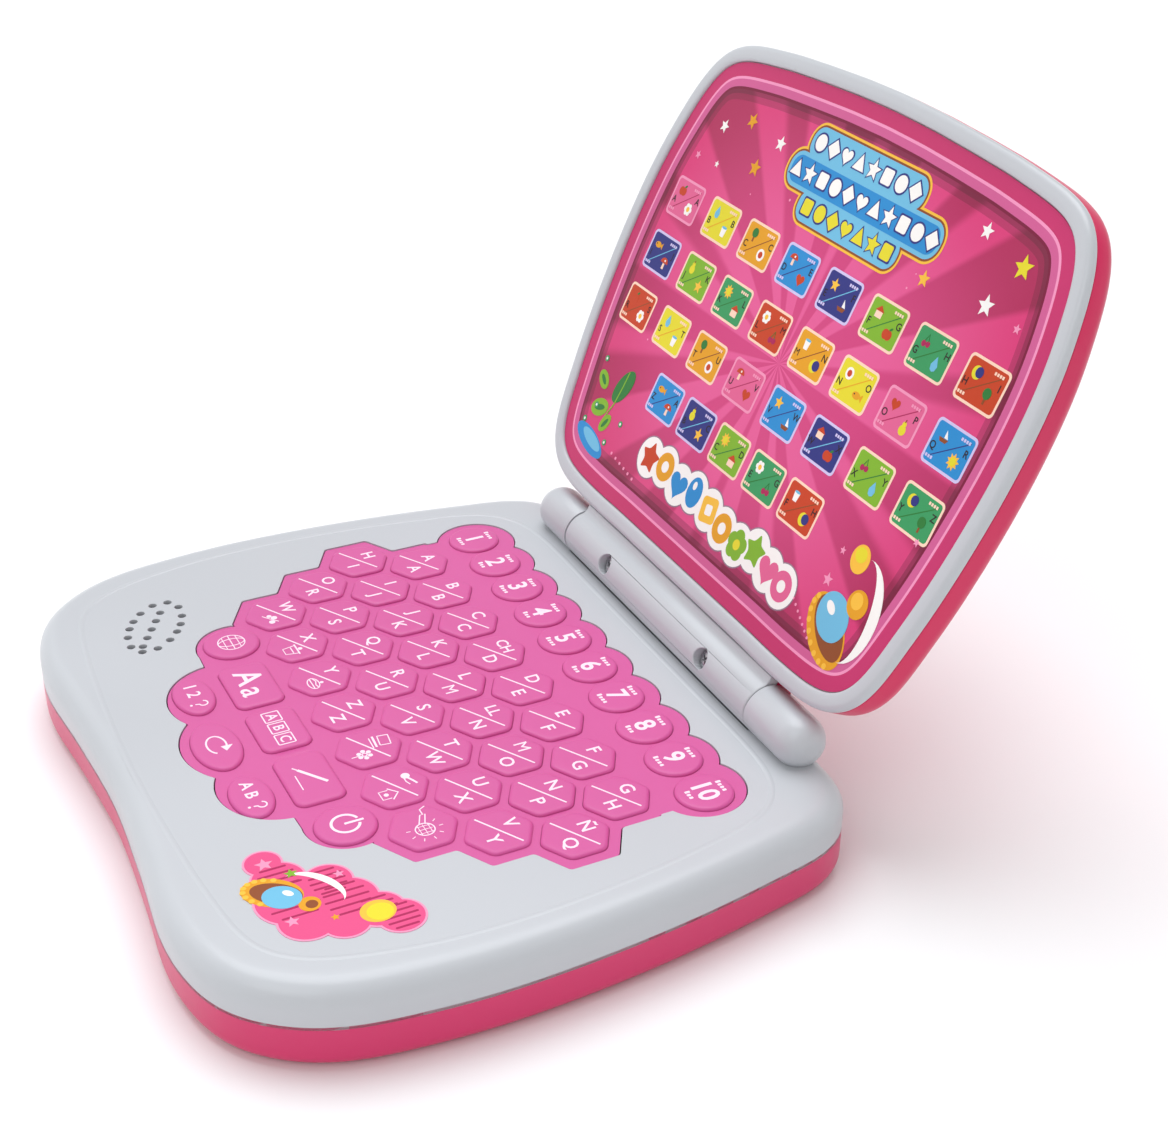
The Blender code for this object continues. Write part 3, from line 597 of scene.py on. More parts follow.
def filleted(loop, radius, steps=4):
    """Rounds a loop's corners that turn by more than 25 degrees."""
    count = len(loop)
    rounded = []
    for i, point in enumerate(loop):
        a, b = loop[i - 1], loop[(i + 1) % count]
        into, out = (point - a).normalized(), (b - point).normalized()
        if into.dot(out) > math.cos(math.radians(25)):
            rounded.append(point)
            continue
        reach = min(radius, (point - a).length * 0.45, (b - point).length * 0.45)
        start, end = point - into * reach, point + out * reach
        for k in range(steps + 1):
            t = k / steps
            rounded.append(start * (1 - t) ** 2 + point * 2 * t * (1 - t) + end * t ** 2)
    return rounded


# -------------------------------------------------------------- base shells
base_loop = node_outline("base_top_shell", 16.5)
opening = filleted(outer_outline(opening_cells(0.0)), 0.8)

# Cuts through the top face run between these heights; cuts from below start under the foot.
FACE_CUT = (20, 26)
FOOT_CUT_LOW = -1
GRILLE_SLANT = math.radians(-30.6)
GRILLE_HOLE = 1.25
KNUCKLE_BORE = 5.3
KNUCKLE_BORE_ENDS = (57.3, 70.5)
KNUCKLE_END_RADIUS = 6.5
BARREL_GAP = 0.45
PIN_BORE = 2.75
PIN_HALF = 60
WELL_WALL = 4.2
WELL_BORE = 3.1


def drawn_in(ring):
    """The ring a little smaller, so that a wide flat face gets a narrow border."""
    centre = sum(ring, Vector((0, 0, 0))) / len(ring)
    return [centre + (p - centre) * 0.985 for p in ring]


def on_axis(x):
    """A point on the lid's hinge axis."""
    return (x, HINGE.y, HINGE.z)


def grille_places():
    """A slanted oval of fourteen holes about a row of five."""
    along = Vector((math.cos(GRILLE_SLANT), math.sin(GRILLE_SLANT)))
    across = Vector((-along.y, along.x))
    centre = middle_mm("speaker").xy + Vector((1.2, -0.2))
    places = []
    for k in range(14):
        angle = TAU * k / 14 + 0.17 * math.sin(2 * TAU * k / 14)
        places.append(centre + along * 13.8 * math.cos(angle) + across * 7.1 * math.sin(angle))
    return places + [centre + along * (1.6 + (k - 2) * 4.7) - across * 0.6 for k in range(5)]


def base_top():
    edit = bmesh.new()
    profile = [(2.0, 18.0), (2.0, SEAM_TOP_Z), (0.5, SEAM_TOP_Z), (0.0, SEAM_TOP_Z + 0.5)]
    profile += quarter(6.0, 10, FACE_Z)
    rings = rings_of(base_loop, [(6.0, 22.0), (3.2, 20.8), *profile])
    loft(edit, rings + [drawn_in(rings[-1])])
    shell = new_object("base_top", edit)
    for side in (-1, 1):
        edit = bmesh.new()
        ring = []
        steps = [(side * 50, 0.0)]
        steps += [(side * (KNUCKLE_OUT_X - KNUCKLE_END_RADIUS * (1 - math.sin(a))),
                   5.2 * (1 - math.cos(a))) for a in quarter_turn(10)]
        for x, shrink in steps:
            radius = BARREL_RADIUS - shrink
            ring.append([Vector((x, HINGE.y + radius * math.cos(a), HINGE.z + radius * math.sin(a)))
                         for a in (TAU * k / 64 for k in range(64))])
        loft(edit, ring)
        combine(shell, edit, "UNION")
        ends = [on_axis(side * x) for x in KNUCKLE_BORE_ENDS]
        with_rods(shell, "DIFFERENCE", KNUCKLE_BORE, 32, [ends])
    with_rods(shell, "DIFFERENCE", BARREL_RADIUS + BARREL_GAP, 96,
              [(on_axis(-KNUCKLE_IN_X), on_axis(KNUCKLE_IN_X))])
    with_rods(shell, "DIFFERENCE", PIN_BORE, 32, [(on_axis(-PIN_HALF), on_axis(PIN_HALF))])
    with_plates(shell, "DIFFERENCE", [opening], *FACE_CUT)
    holes = [polygon(place.x, place.y, GRILLE_HOLE, 20) for place in grille_places()]
    with_plates(shell, "DIFFERENCE", holes, *FACE_CUT)
    softened(shell, 0.28, 2, 50)
    return finished(shell, "base", ["shell_white"], ["base_top_shell"])


def lid_footprint():
    """Where the closed lid's edge lands on the base."""
    return [Vector((p.x, HINGE.y - p.y)) for p in reversed(lid_loop)]


def landing_line():
    """A faint raised line on the base, under the edge of the closed lid."""
    edit = bmesh.new()
    profile = ((-0.9, -0.1), (-0.9, -0.02), (-0.45, 0.10), (0.0, 0.14), (0.45, 0.10), (0.9, -0.02),
               (0.9, -0.1))
    loft(edit, rings_of(lid_footprint(), [(d, FACE_Z + z) for d, z in profile]), closed=True)
    line = new_object("base_landing_line", edit)
    return finished(line, "base", ["shell_white"], angle=60)


def door_outline(grow, front, tab_half):
    """The battery door with its front tab, grown by some millimetres."""
    low, high = box_mm("battery_door")
    half = (high.x - low.x) / 2 + grow
    corners = [(-half, low.y + front), (-tab_half, low.y + front), (-tab_half, low.y - grow),
               (tab_half, low.y - grow), (tab_half, low.y + front), (half, low.y + front),
               (half, high.y + grow), (-half, high.y + grow)]
    return filleted([Vector(p) for p in corners], 1.2)


def base_bottom():
    edit = bmesh.new()
    top, foot_radius = 13.8, 5.0
    profile = [(foot_radius * (1 - math.sin(a)), foot_radius * (1 - math.cos(a)))
               for a in quarter_turn(10)]
    profile += [(0, top - 0.4), (0.4, top), (2.0, top), (2.0, 5.0), (3.5, 2.2)]
    rings = rings_of(base_loop, profile)
    loft(edit, [drawn_in(rings[0])] + rings)
    shell = new_object("base_bottom", edit)
    wells = [middle_mm(f"case_screw_{i}") for i in (1, 2, 3, 4)]
    with_rods(shell, "UNION", WELL_WALL, 32, [((p.x, p.y, 0.6), (p.x, p.y, 8.6)) for p in wells])
    edit = bmesh.new()
    for p in wells:
        rod(edit, WELL_BORE, (p.x, p.y, FOOT_CUT_LOW), (p.x, p.y, 7.5), 40)
    plate(edit, door_outline(0.25, 12.2, 12.0), FOOT_CUT_LOW, 3)
    combine(shell, edit, "DIFFERENCE")
    softened(shell, 0.25, 2, 50)
    return finished(shell, "base", ["shell_pink"], ["base_bottom_shell"])


def battery_door():
    edit = bmesh.new()
    loft(edit, rings_of(door_outline(-0.1, 12.7, 11.2), [(0.35, 0.0), (0, 0.35), (0, 1.8)]))
    door = new_object("battery_door_plate", edit)
    x, y = middle_mm("battery_door_screw").xy
    with_rods(door, "UNION", 4.5, 32, [((x, y, 1.0), (x, y, 7.0))])
    edit = bmesh.new()
    rod(edit, WELL_BORE, (x, y, FOOT_CUT_LOW), (x, y, 4.6), 40)
    back = box_mm("battery_door")[1].y
    for k in range(5):
        groove = rounded_rectangle(0, back - 7 - 2.6 * k, 9.0 - 0.8 * k, 0.6, 0.55, 3)
        plate(edit, groove, FOOT_CUT_LOW, 0.5)
    combine(door, edit, "DIFFERENCE")
    softened(door, 0.15, 1, 50)
    return finished(door, "battery_door_set", ["shell_pink"], ["battery_door"])


# ------------------------------------------------------------------- keypad
def dome_key(edit, outline):
    """A soft raised key: upright foot, rounded shoulder, nearly flat top."""
    shoulder = 0.85
    profile = [(0.0, KEY_FOOT_Z)]
    profile += [(1.15 * (1 - math.cos(a)), KEY_TOP_Z - shoulder * (1 - 0.97 * math.sin(a)))
                for a in quarter_turn(7)]
    profile += [(2.2, KEY_TOP_Z - 0.005), (3.6, KEY_TOP_Z)]
    loft(edit, [at(outline(d), z) for d, z in profile])


def key_outline(node):
    """A function that gives a key's outline, drawn in by some millimetres."""
    low, high = box_mm(node)
    x, y = (low.x + high.x) / 2, (low.y + high.y) / 2
    half_x, half_y = (high.x - low.x) / 2 + KEY_GROW, (high.y - low.y) / 2 + KEY_GROW
    if node in NUMBER_KEYS:
        return lambda d: polygon(x, y, half_y - d, 56)
    if node in ("key_letter", "key_word", "key_spell"):
        return lambda d: rounded_rectangle(x, y, half_x - d, half_y - d, max(3.0 - d * 0.5, 1.2), 8)
    if node in FUNCTION_KEYS:
        return lambda d: polygon(x, y, half_x - d, 56, stretch=(half_y - d) / (half_x - d))
    return hex_outline(x, y)


def hex_outline(x, y):
    cosine = math.cos(math.radians(30))
    return lambda d: filleted(polygon(x, y, HEX_RADIUS + KEY_GROW - d / cosine, 6), 1.9, 5)


LETTER_KEYS = ROW_KEYS[0] + ROW_KEYS[1]
MOVING_KEYS = NUMBER_KEYS + LETTER_KEYS + FUNCTION_KEYS
PAIRS = dict(zip(LETTER_KEYS, ["A A", "B B", "C C", "CH D", "D E", "E F", "F G", "G H", "H I",
                               "I J", "J K", "K L", "L M", "LL N", "M O", "N P", "Ñ Q"]))
KEY_PRINT = (KEY_TOP_Z - 0.04, KEY_TOP_Z + 0.035, 1)
KEY_GROW = 0.2
MAT_PAIRS = [["O R", "P S", "Q T", "R U", "S V", "T W", "U X", "V Y"],
             ["W leaf", "X cup", "Y cake", "Z Z", "screen flower", "bird house", "voice"]]


def key_icon(edit, kind, x, y, size):
    """Small line drawings, about 5 mm across."""
    def place(px, py):
        return (x + px * size, y + py * size)

    def stroke(points, width=0.32):
        ribbon(edit, [place(*p) for p in points], width, *KEY_PRINT)

    def frame_of(outer, width=0.32):
        ring_band(edit, outer, inset(outer, width), *KEY_PRINT)

    def ring(px, py, radius, width=0.32, stretch=1.0):
        frame_of(polygon(*place(px, py), radius * size, 28, stretch=stretch), width)

    def dot(px, py, radius):
        low, high, slot = KEY_PRINT
        plate(edit, polygon(*place(px, py), radius * size, 14), low, high + lift(), slot)

    if kind == "leaf":
        stroke([(-1.8, -1.2), (-0.4, -0.2), (1.6, 1.5)])
        dot(-0.2, 1.0, 0.7)
        dot(1.3, 0.1, 0.7)
        dot(-1.2, 0.2, 0.55)
    elif kind == "cup":
        stroke([(-1.6, 1.2), (-1.1, -1.5), (1.1, -1.5), (1.6, 1.2)])
        stroke([(-2.0, 1.3), (2.0, 1.3)], 0.45)
        stroke([(-1.2, 0.2), (1.2, 0.2)])
        dot(0.0, 2.0, 0.5)
    elif kind == "cake":
        ring(0, 0.0, 2.1, 0.32, 0.62)
        stroke([(-1.9, 0.3), (-0.6, 0.7), (0.6, 0.3), (1.9, 0.6)])
        stroke([(-1.9, -0.3), (1.9, -0.3)])
        dot(0.2, 1.7, 0.4)
    elif kind == "screen":
        frame_of(rounded_rectangle(*place(0.2, 0.9), 1.7 * size, 1.2 * size, 0.3, 3, turn=-8))
        stroke([(-1.8, -0.9), (1.9, -1.2)], 0.6)
        stroke([(-1.5, -1.7), (2.1, -1.9)], 0.3)
    elif kind == "flower":
        for k in range(6):
            dot(1.15 * math.cos(TAU * k / 6), 1.15 * math.sin(TAU * k / 6) + 0.5, 0.5)
        ring(0, 0.5, 0.62)
        stroke([(0, -0.5), (0.1, -2.2)])
    elif kind == "bird":
        dot(-0.9, 0.2, 0.9)
        stroke([(-0.2, 0.4), (1.0, 1.0), (2.2, 1.5)], 0.6)
        stroke([(-0.6, -0.3), (0.9, -0.3), (2.0, 0.1)])
    elif kind == "house":
        stroke([(-1.8, 0.3), (0, 1.9), (1.8, 0.3)], 0.4)
        stroke([(-1.3, 0.2), (-1.3, -1.6), (1.3, -1.6), (1.3, 0.2)])
        dot(0, -0.5, 0.5)
    elif kind == "voice":
        ring(1.6, -0.2, 1.7)
        for k in (-1, 0, 1):
            stroke([(0.3, -0.2 + k * 0.9), (2.9, -0.2 + k * 0.9)], 0.18)
            stroke([(1.6 + k * 0.9, -1.4), (1.6 + k * 0.9, 1.1)], 0.18)
        stroke([(0.3, 0.3), (-2.2, 1.3), (-2.2, 0.4), (0.0, -0.6)])
        stroke([(-2.2, 0.9), (-3.6, 0.9), (-4.2, 2.0)])
        for k in range(7):
            a = math.radians(-100 + 38 * k)
            stroke([(1.6 + 2.4 * math.cos(a), -0.2 + 2.4 * math.sin(a)),
                    (1.6 + 3.1 * math.cos(a), -0.2 + 3.1 * math.sin(a))], 0.24)
    elif kind == "power":
        arc = [(2.4 * math.sin(a), 2.4 * math.cos(a)) for a in
               (math.radians(16 + 328 * k / 30) for k in range(31))]
        stroke(arc, 0.75)
        stroke([(0, -0.2), (0, 3.2)], 0.75)
    elif kind == "repeat":
        arc = [(3.0 * math.cos(a), 1.9 * math.sin(a)) for a in
               (math.radians(60 + 280 * k / 24) for k in range(25))]
        stroke(arc, 0.5)
        plate(edit, [Vector(place(*p)) for p in ((1.0, 3.0), (0.9, 0.6), (2.7, 1.3))], *KEY_PRINT)
    elif kind == "globe":
        ring(0, 0, 2.6)
        ring(0, 0, 1.3, 0.3, 2.0)
        stroke([(-2.6, 0), (2.6, 0)], 0.28)
        stroke([(-2.1, 1.3), (2.1, 1.3)], 0.24)
        stroke([(-2.1, -1.3), (2.1, -1.3)], 0.24)
    elif kind == "question":
        arc = [(0.95 * math.cos(a), 0.9 + 0.95 * math.sin(a)) for a in
               (math.radians(170 - 250 * k / 16) for k in range(17))]
        stroke(arc + [(0.0, -0.9)], 0.42)
        dot(0, -1.8, 0.32)
    elif kind == "pencil":
        stroke([(-2.2, -1.6), (2.2, 1.6)], 0.9)
        stroke([(-3.0, -2.2), (-2.2, -1.6)], 0.4)
        stroke([(-1.0, -2.4), (2.8, -2.4)], 0.3)
    elif kind == "block":
        frame_of(rounded_rectangle(*place(0, 0), 2.3 * size, 2.3 * size, 0.5, 4), 0.36)


def letter_pair(edit, x, y, pair):
    """Two small glyphs split by a slash."""
    if " " not in pair:
        key_icon(edit, pair, x - 1.2, y + 0.4, 1.55)
        return
    first, second = pair.split(" ")
    ribbon(edit, [(x - 6.5, y - 3.8), (x + 6.5, y + 3.8)], 0.46, *KEY_PRINT)
    for glyph, dx, dy in ((first, -1.6, 3.7), (second, 2.9, -2.8)):
        if glyph[0].isupper():
            size = 5.5 if len(glyph) == 1 else 4.9
            words(edit, glyph, size, x + dx, y + dy, *KEY_PRINT, weight=0.07)
        else:
            key_icon(edit, glyph, x + dx, y + dy, 1.35)


def marks(edit, x, y, count):
    """A short row of plain blocks in place of a small word."""
    for k in range(count):
        px = x + (k - (count - 1) / 2) * 1.25
        tall = 0.75 if k == 0 else 0.55
        plate(edit, rounded_rectangle(px, y + tall - 0.6, 0.42, tall, 0.2, 2), *KEY_PRINT)


def key_print(edit, node, x, y):
    """What is printed on one separate key."""
    if node in PAIRS:
        letter_pair(edit, x, y, PAIRS[node])
    elif node in NUMBER_KEYS:
        number = NUMBER_KEYS.index(node) + 1
        words(edit, str(number), 8.2, x, y - 0.1, *KEY_PRINT, weight=0.17)
        marks(edit, x, y + 4.9, 4)
        marks(edit, x, y - 4.5, 3 + number % 2)
    elif node == "key_power":
        key_icon(edit, "power", x, y, 1.5)
    elif node == "key_language":
        key_icon(edit, "globe", x, y, 1.55)
    elif node == "key_repeat":
        key_icon(edit, "repeat", x, y, 1.35)
    elif node == "key_letter":
        words(edit, "A", 10.5, x - 3.4, y, *KEY_PRINT, weight=0.12)
        words(edit, "a", 10.5, x + 3.8, y - 0.6, *KEY_PRINT, weight=0.08)
    elif node == "key_word":
        for k, glyph in enumerate("ABC"):
            key_icon(edit, "block", x + (k - 1) * 5.6, y, 1.1)
            words(edit, glyph, 4.2, x + (k - 1) * 5.6, y, *KEY_PRINT, weight=0.05)
    elif node == "key_spell":
        key_icon(edit, "pencil", x, y + 1.0, 1.75)
    elif node == "key_number_quiz":
        words(edit, "1 2", 5.2, x - 2.3, y, *KEY_PRINT, weight=0.07)
        key_icon(edit, "question", x + 4.8, y + 0.2, 1.25)
    elif node == "key_letter_quiz":
        words(edit, "A B", 4.8, x - 2.3, y, *KEY_PRINT, weight=0.07)
        key_icon(edit, "question", x + 4.9, y + 0.2, 1.25)


def keys():
    """One cap for each separate key of the frame."""
    for node in MOVING_KEYS:
        edit = bmesh.new()
        dome_key(edit, key_outline(node))
        place = middle_mm(node)
        key_print(edit, node, place.x, place.y)
        thing = new_object(node.replace("key_", "cap_"), edit)
        finished(thing, node + "_body", ["silicone", "key_print"], [node])


def keypad_mat():
    """The silicone sheet, with pockets under the separate keys and its own raised keys."""
    edit = bmesh.new()
    outline = filleted(outer_outline(opening_cells(-0.35)), 0.8)
    plate(edit, outline, 20.6, MAT_TOP_Z)
    mat = new_object("keypad_sheet", edit)
    pockets = [key_outline(node)(-0.1) for node in MOVING_KEYS]
    with_plates(mat, "DIFFERENCE", pockets, KEY_POCKET_Z, MAT_TOP_Z + 1)
    softened(mat, 0.18, 2, 50)
    extra = bmesh.new()
    extra.from_mesh(mat.data)
    bmesh.ops.scale(extra, vec=(1 / MM,) * 3, verts=extra.verts)
    rows = lattice_rows()
    for row, pairs in zip(rows[2:], MAT_PAIRS):
        for place, pair in zip(row, pairs):
            dome_key(extra, hex_outline(place.x, place.y))
            letter_pair(extra, place.x, place.y, pair)
    bpy.data.objects.remove(mat)
    mat = new_object("keypad_sheet", extra)
    return finished(mat, "base", ["silicone", "key_print"], ["keypad_mat"])


# ---------------------------------------------------------------------- lid
picture_loop = node_outline("lid_picture_panel", PICTURE_Z - 0.2, LID_FRAME, middle=(0, 85))
picture_loop = inset(picture_loop, -0.3)
lid_loop = inset(picture_loop, -RIM_WIDTH)


def lid_rim():
    """The white border around the picture."""
    edit = bmesh.new()
    outer = [(0, LID_SEAM_Z), (0, RIM_Z - 1.6), *quarter(1.7, 8, RIM_Z)[1:]]
    crown = [(2.9, RIM_Z + 0.03), (4.2, RIM_Z - 0.05), (4.7, RIM_Z - 0.25), (4.9, RIM_Z - 0.55)]
    inner = [(4.95, 3.1), (7.0, 3.1), (7.0, LID_SEAM_Z - 0.3), (2.4, LID_SEAM_Z - 0.3), (2.4, LID_SEAM_Z)]
    loft(edit, rings_of(lid_loop, outer + crown + inner), closed=True)
    rim = new_object("lid_rim", edit, LID_FRAME)
    return finished(rim, "lid", ["shell_white"], ["lid_front_shell"])


def lid_back():
    edit = bmesh.new()
    top = max(p.y for p in lid_loop)

    def lifted(loop, z):
        depth = max(0.0, (LID_SEAM_Z - z) / (LID_SEAM_Z - LID_BACK_Z))
        return [Vector((p.x, p.y, z + LID_BACK_RISE * depth * max(0.0, p.y / top) ** 1.5))
                for p in loop]

    radius = 6.5
    profile = [(2.2, LID_SEAM_Z - 3), (2.2, LID_SEAM_Z - 0.2), (0.3, LID_SEAM_Z - 0.2),
               (0, LID_SEAM_Z - 0.5)]
    profile += [(d, LID_BACK_Z - z) for d, z in quarter(radius, 10)]
    rings = [lifted(inset(lid_loop, d), z) for d, z in profile]
    flat = inset(lid_loop, radius)
    centre = Vector((0, sum(p.y for p in flat) / len(flat)))
    for share, crown in ((0.92, 0.15), (0.75, 0.4), (0.5, 0.7), (0.25, 0.85)):
        rings.append(lifted([centre + (p - centre) * share for p in flat], LID_BACK_Z - crown))
    loft(edit, [ring[::-1] for ring in rings])
    back = new_object("lid_back", edit, LID_FRAME)
    half, radius = BARREL_HALF, BARREL_RADIUS
    edit = bmesh.new()
    profile = [(radius * math.cos(a), radius * math.sin(a)) for a in
               (math.radians(180 + 128 * k / 24) for k in range(25))]
    profile += [(9.0, -6.3), (11.5, -6.3), (11.5, -0.15)]
    loft(edit, [[Vector((x, y, z)) for y, z in profile] for x in (-half, half)])
    combine(back, edit, "UNION")
    with_rods(back, "UNION", 2.5, 32,
              [((side * (half - 2), 0, 0), (side * 59.5, 0, 0)) for side in (-1, 1)])
    ears = [rounded_rectangle(side * (half + 2.25), 9.8, 3.25, 1.6, 0.6, 4) for side in (-1, 1)]
    with_plates(back, "UNION", ears, -6.0, -0.15)
    softened(back, 0.3, 2, 50)
    return finished(back, "lid", ["lid_pink"], ["lid_back_shell"])


def hinge_cover():
    half, radius = BARREL_HALF, BARREL_RADIUS
    profile = [(-radius, 0.15)]
    profile += [(radius * math.cos(a), radius * math.sin(a)) for a in
                (math.radians(176 - 140 * k / 40) for k in range(41))]
    end_y, end_z = profile[-1]
    profile += [(end_y + (7.6 - end_y) * t, end_z + (3.35 - end_z) * (1 - (1 - t) ** 2))
                for t in (0.33, 0.66, 1.0)]
    profile += [(9.0, 3.3), (9.3, 3.05), (9.3, 0.15)]
    edit = bmesh.new()
    rings = []
    heart_y, heart_z = 0.6, 2.0
    for x, share in ((-half, 0.95), (-half + 0.12, 0.975), (-half + 0.4, 1.0),
                     (half - 0.4, 1.0), (half - 0.12, 0.975), (half, 0.95)):
        rings.append([Vector((x, heart_y + (y - heart_y) * share, heart_z + (z - heart_z) * share))
                      for y, z in profile])
    loft(edit, rings)
    cover = new_object("hinge_front_cover", edit, LID_FRAME)
    places = [middle_mm(f"hinge_screw_{side}").x for side in ("left", "right")]
    with_rods(cover, "DIFFERENCE", 3.05, 40, [((x, 0, 3.6), (x, 0, 9)) for x in places])
    softened(cover, 0.3, 3, 50, clamp=False)
    return finished(cover, "lid", ["shell_white"], ["hinge_cover"])


def screw(name, node, place, way, body, matrix=None, top_radius=2.65, length=9.0):
    """A domed cross-head screw; place is the top of its head."""
    place, way = Vector(place), Vector(way)
    side = way.orthogonal().normalized()
    other = way.cross(side)
    loop = [side * math.cos(a) + other * math.sin(a) for a in (TAU * k / 40 for k in range(40))]
    steps = [(1.1, -length), (1.1, -1.5), (top_radius, -1.5), (top_radius, -0.8),
             (top_radius * 0.93, -0.4), (top_radius * 0.7, -0.12), (top_radius * 0.4, 0.0)]
    edit = bmesh.new()
    loft(edit, [[place + way * h + v * r for v in loop] for r, h in steps])
    thing = new_object(name, edit, matrix)
    edit = bmesh.new()
    rings = []
    for depth, reach, width in ((0.3, 1.75, 0.42), (-0.95, 0.95, 0.22)):
        ring = []
        for axis, across in ((side, other), (other, -side), (-side, -other), (-other, side)):
            ring += [axis * reach - across * width, axis * reach + across * width,
                     (axis + across) * width]
        rings.append([place + way * depth + p for p in ring])
    loft(edit, rings)
    combine(thing, edit, "DIFFERENCE")
    return finished(thing, body, ["steel"], [node])


# ------------------------------------------------------------- lid artwork
class Art:
    """Gathers flat printed shapes; each ink is one material slot of one mesh."""

    def __init__(self, level):
        self.edit = bmesh.new()
        self.inks = []
        self.level = level
        self.floor = level

    def slot_of(self, ink_name):
        if ink_name not in self.inks:
            self.inks.append(ink_name)
        return self.inks.index(ink_name)

    def shape(self, loop, ink_name, layer):
        top = self.level + 0.03 + 0.02 * layer + lift()
        plate(self.edit, loop, self.floor - 0.02, top, self.slot_of(ink_name))

    def oval(self, x, y, radius, sides, ink_name, layer, stretch=1.0, turn=0.0):
        self.shape(polygon(x, y, radius, sides, stretch=stretch, turn=turn), ink_name, layer)

    def text(self, glyph, size, x, y, ink_name, layer, weight):
        words(self.edit, glyph, size, x, y, self.floor, self.level + 0.03 + 0.02 * layer,
              self.slot_of(ink_name), weight=weight)

    def stroke(self, points, width, ink_name, layer):
        ribbon(self.edit, points, width, self.floor - 0.02, self.level + 0.03 + 0.02 * layer,
               self.slot_of(ink_name))


WHITE = ink("white", 246, 244, 240)
CREAM = ink("cream", 250, 214, 190)
YELLOW = ink("yellow", 226, 214, 40)
ORANGE = ink("orange", 226, 158, 22)
BLUE = ink("blue", 36, 138, 204)
NAVY = ink("navy", 42, 46, 124)
LIME = ink("lime", 126, 178, 40)
GREEN = ink("green", 54, 152, 92)
RED = ink("red", 196, 62, 22)
PINK = ink("pink", 224, 98, 146)
GOLD = ink("gold", 244, 190, 60)
SKY = ink("sky", 110, 186, 220)
LEAF = ink("leaf", 40, 120, 50)
BROWN = ink("brown", 140, 72, 30)
BLACK = ink("black", 40, 24, 30)
CRIMSON = ink("crimson", 170, 24, 84)
ROSE = ink("rose", 240, 150, 186)
TILE_ROWS = [
    (104.7, -73.1, 21.29, [PINK, YELLOW, ORANGE, BLUE, NAVY, LIME, GREEN, RED]),
    (86.9, -73.1, 21.29, [NAVY, LIME, GREEN, RED, ORANGE, YELLOW, PINK, BLUE]),
    (69.1, -73.1, 21.29, [RED, YELLOW, ORANGE, PINK, BLUE, NAVY, LIME, GREEN]),
    (51.1, -40.3, 18.96, [BLUE, NAVY, LIME, GREEN, RED]),
]
TILE_LETTERS = ("AA BB CC DE EF FG GH HI IJ JK KL LM MN NO OP QR RS ST TU UV VW WX XY YZ "
                "ZA BC CD EG FH").split()


def mini(art, kind, x, y, s=1.0):
    """A small generic picture, about 5 mm across."""
    def disc(dx, dy, r, colour, layer=3, stretch=1.0, turn=0.0):
        art.oval(x + dx * s, y + dy * s, r * s, 20, colour, layer, stretch, turn)

    def poly(points, colour, layer=3):
        art.shape([Vector((x + px * s, y + py * s)) for px, py in points], colour, layer)

    if kind == "apple":
        disc(-0.6, 0, 1.4, RED)
        disc(0.6, 0, 1.4, RED)
        disc(0.9, 1.7, 0.7, LEAF, 4, 0.5, 40)
    elif kind == "ball":
        disc(0, 0, 1.8, WHITE)
        disc(0, 0, 1.0, RED, 4)
    elif kind == "sun":
        art.shape(star(x, y, 2.3 * s, 9, 0.6), GOLD, 3)
        disc(0, 0, 1.1, YELLOW, 4)
    elif kind == "moon":
        disc(0, 0, 1.9, YELLOW)
        disc(0.9, 0.3, 1.5, NAVY, 4)
    elif kind == "star":
        art.shape(star(x, y, 2.1 * s), GOLD, 3)
    elif kind == "drop":
        poly([(0, 2.2), (-1.3, -0.2), (-0.9, -1.5), (0, -1.9), (0.9, -1.5), (1.3, -0.2)], SKY)
    elif kind == "heart":
        art.shape(heart(x, y, 1.9 * s), RED, 3)
    elif kind == "flower":
        for k in range(6):
            disc(1.2 * math.cos(TAU * k / 6), 1.2 * math.sin(TAU * k / 6), 0.8, WHITE)
        disc(0, 0, 0.8, GOLD, 4)
    elif kind == "fish":
        disc(-0.3, 0, 1.7, ORANGE, 3, 0.6)
        poly([(1.0, 0), (2.3, 1.1), (2.3, -1.1)][::-1], ORANGE)
        disc(-1.2, 0.2, 0.25, BLACK, 4)
    elif kind == "house":
        poly([(-1.5, -1.6), (1.5, -1.6), (1.5, 0.3), (-1.5, 0.3)], CREAM)
        poly([(-2.0, 0.3), (2.0, 0.3), (0, 2.0)], RED, 4)
    elif kind == "tree":
        poly([(-0.35, -2.0), (0.35, -2.0), (0.35, 0), (-0.35, 0)], BROWN)
        disc(0, 0.8, 1.5, LEAF, 4)
    elif kind == "boat":
        poly([(-1.9, -0.4), (-1.2, -1.5), (1.2, -1.5), (1.9, -0.4)], BROWN)
        poly([(0.1, -0.2), (1.6, -0.2), (0.1, 2.0)], WHITE, 4)
    elif kind == "cup":
        poly([(-1.3, 1.2), (-0.9, -1.6), (0.9, -1.6), (1.3, 1.2)], WHITE)
        disc(0, 1.2, 1.3, SKY, 4, 0.3)
    elif kind == "pear":
        disc(0, -0.7, 1.4, YELLOW)
        disc(0, 0.9, 0.8, YELLOW)
        poly([(-0.15, 1.4), (0.15, 1.4), (0.3, 2.3), (0.0, 2.3)], BROWN, 4)
    elif kind == "cherry":
        disc(-0.8, -0.8, 0.9, CRIMSON)
        disc(0.9, -0.6, 0.9, CRIMSON)
        art.stroke([(x - 0.7 * s, y), (x + 0.2 * s, y + 2 * s), (x + 0.9 * s, y)], 0.25, LEAF, 4)
    elif kind == "mushroom":
        poly([(-0.6, -1.8), (0.6, -1.8), (0.5, 0), (-0.5, 0)], CREAM)
        poly([(2.0 * math.cos(a), 0.1 + 1.7 * math.sin(a)) for a in
              (math.pi * k / 10 for k in range(11))], RED, 4)
        disc(0.3, 0.9, 0.35, WHITE, 5)


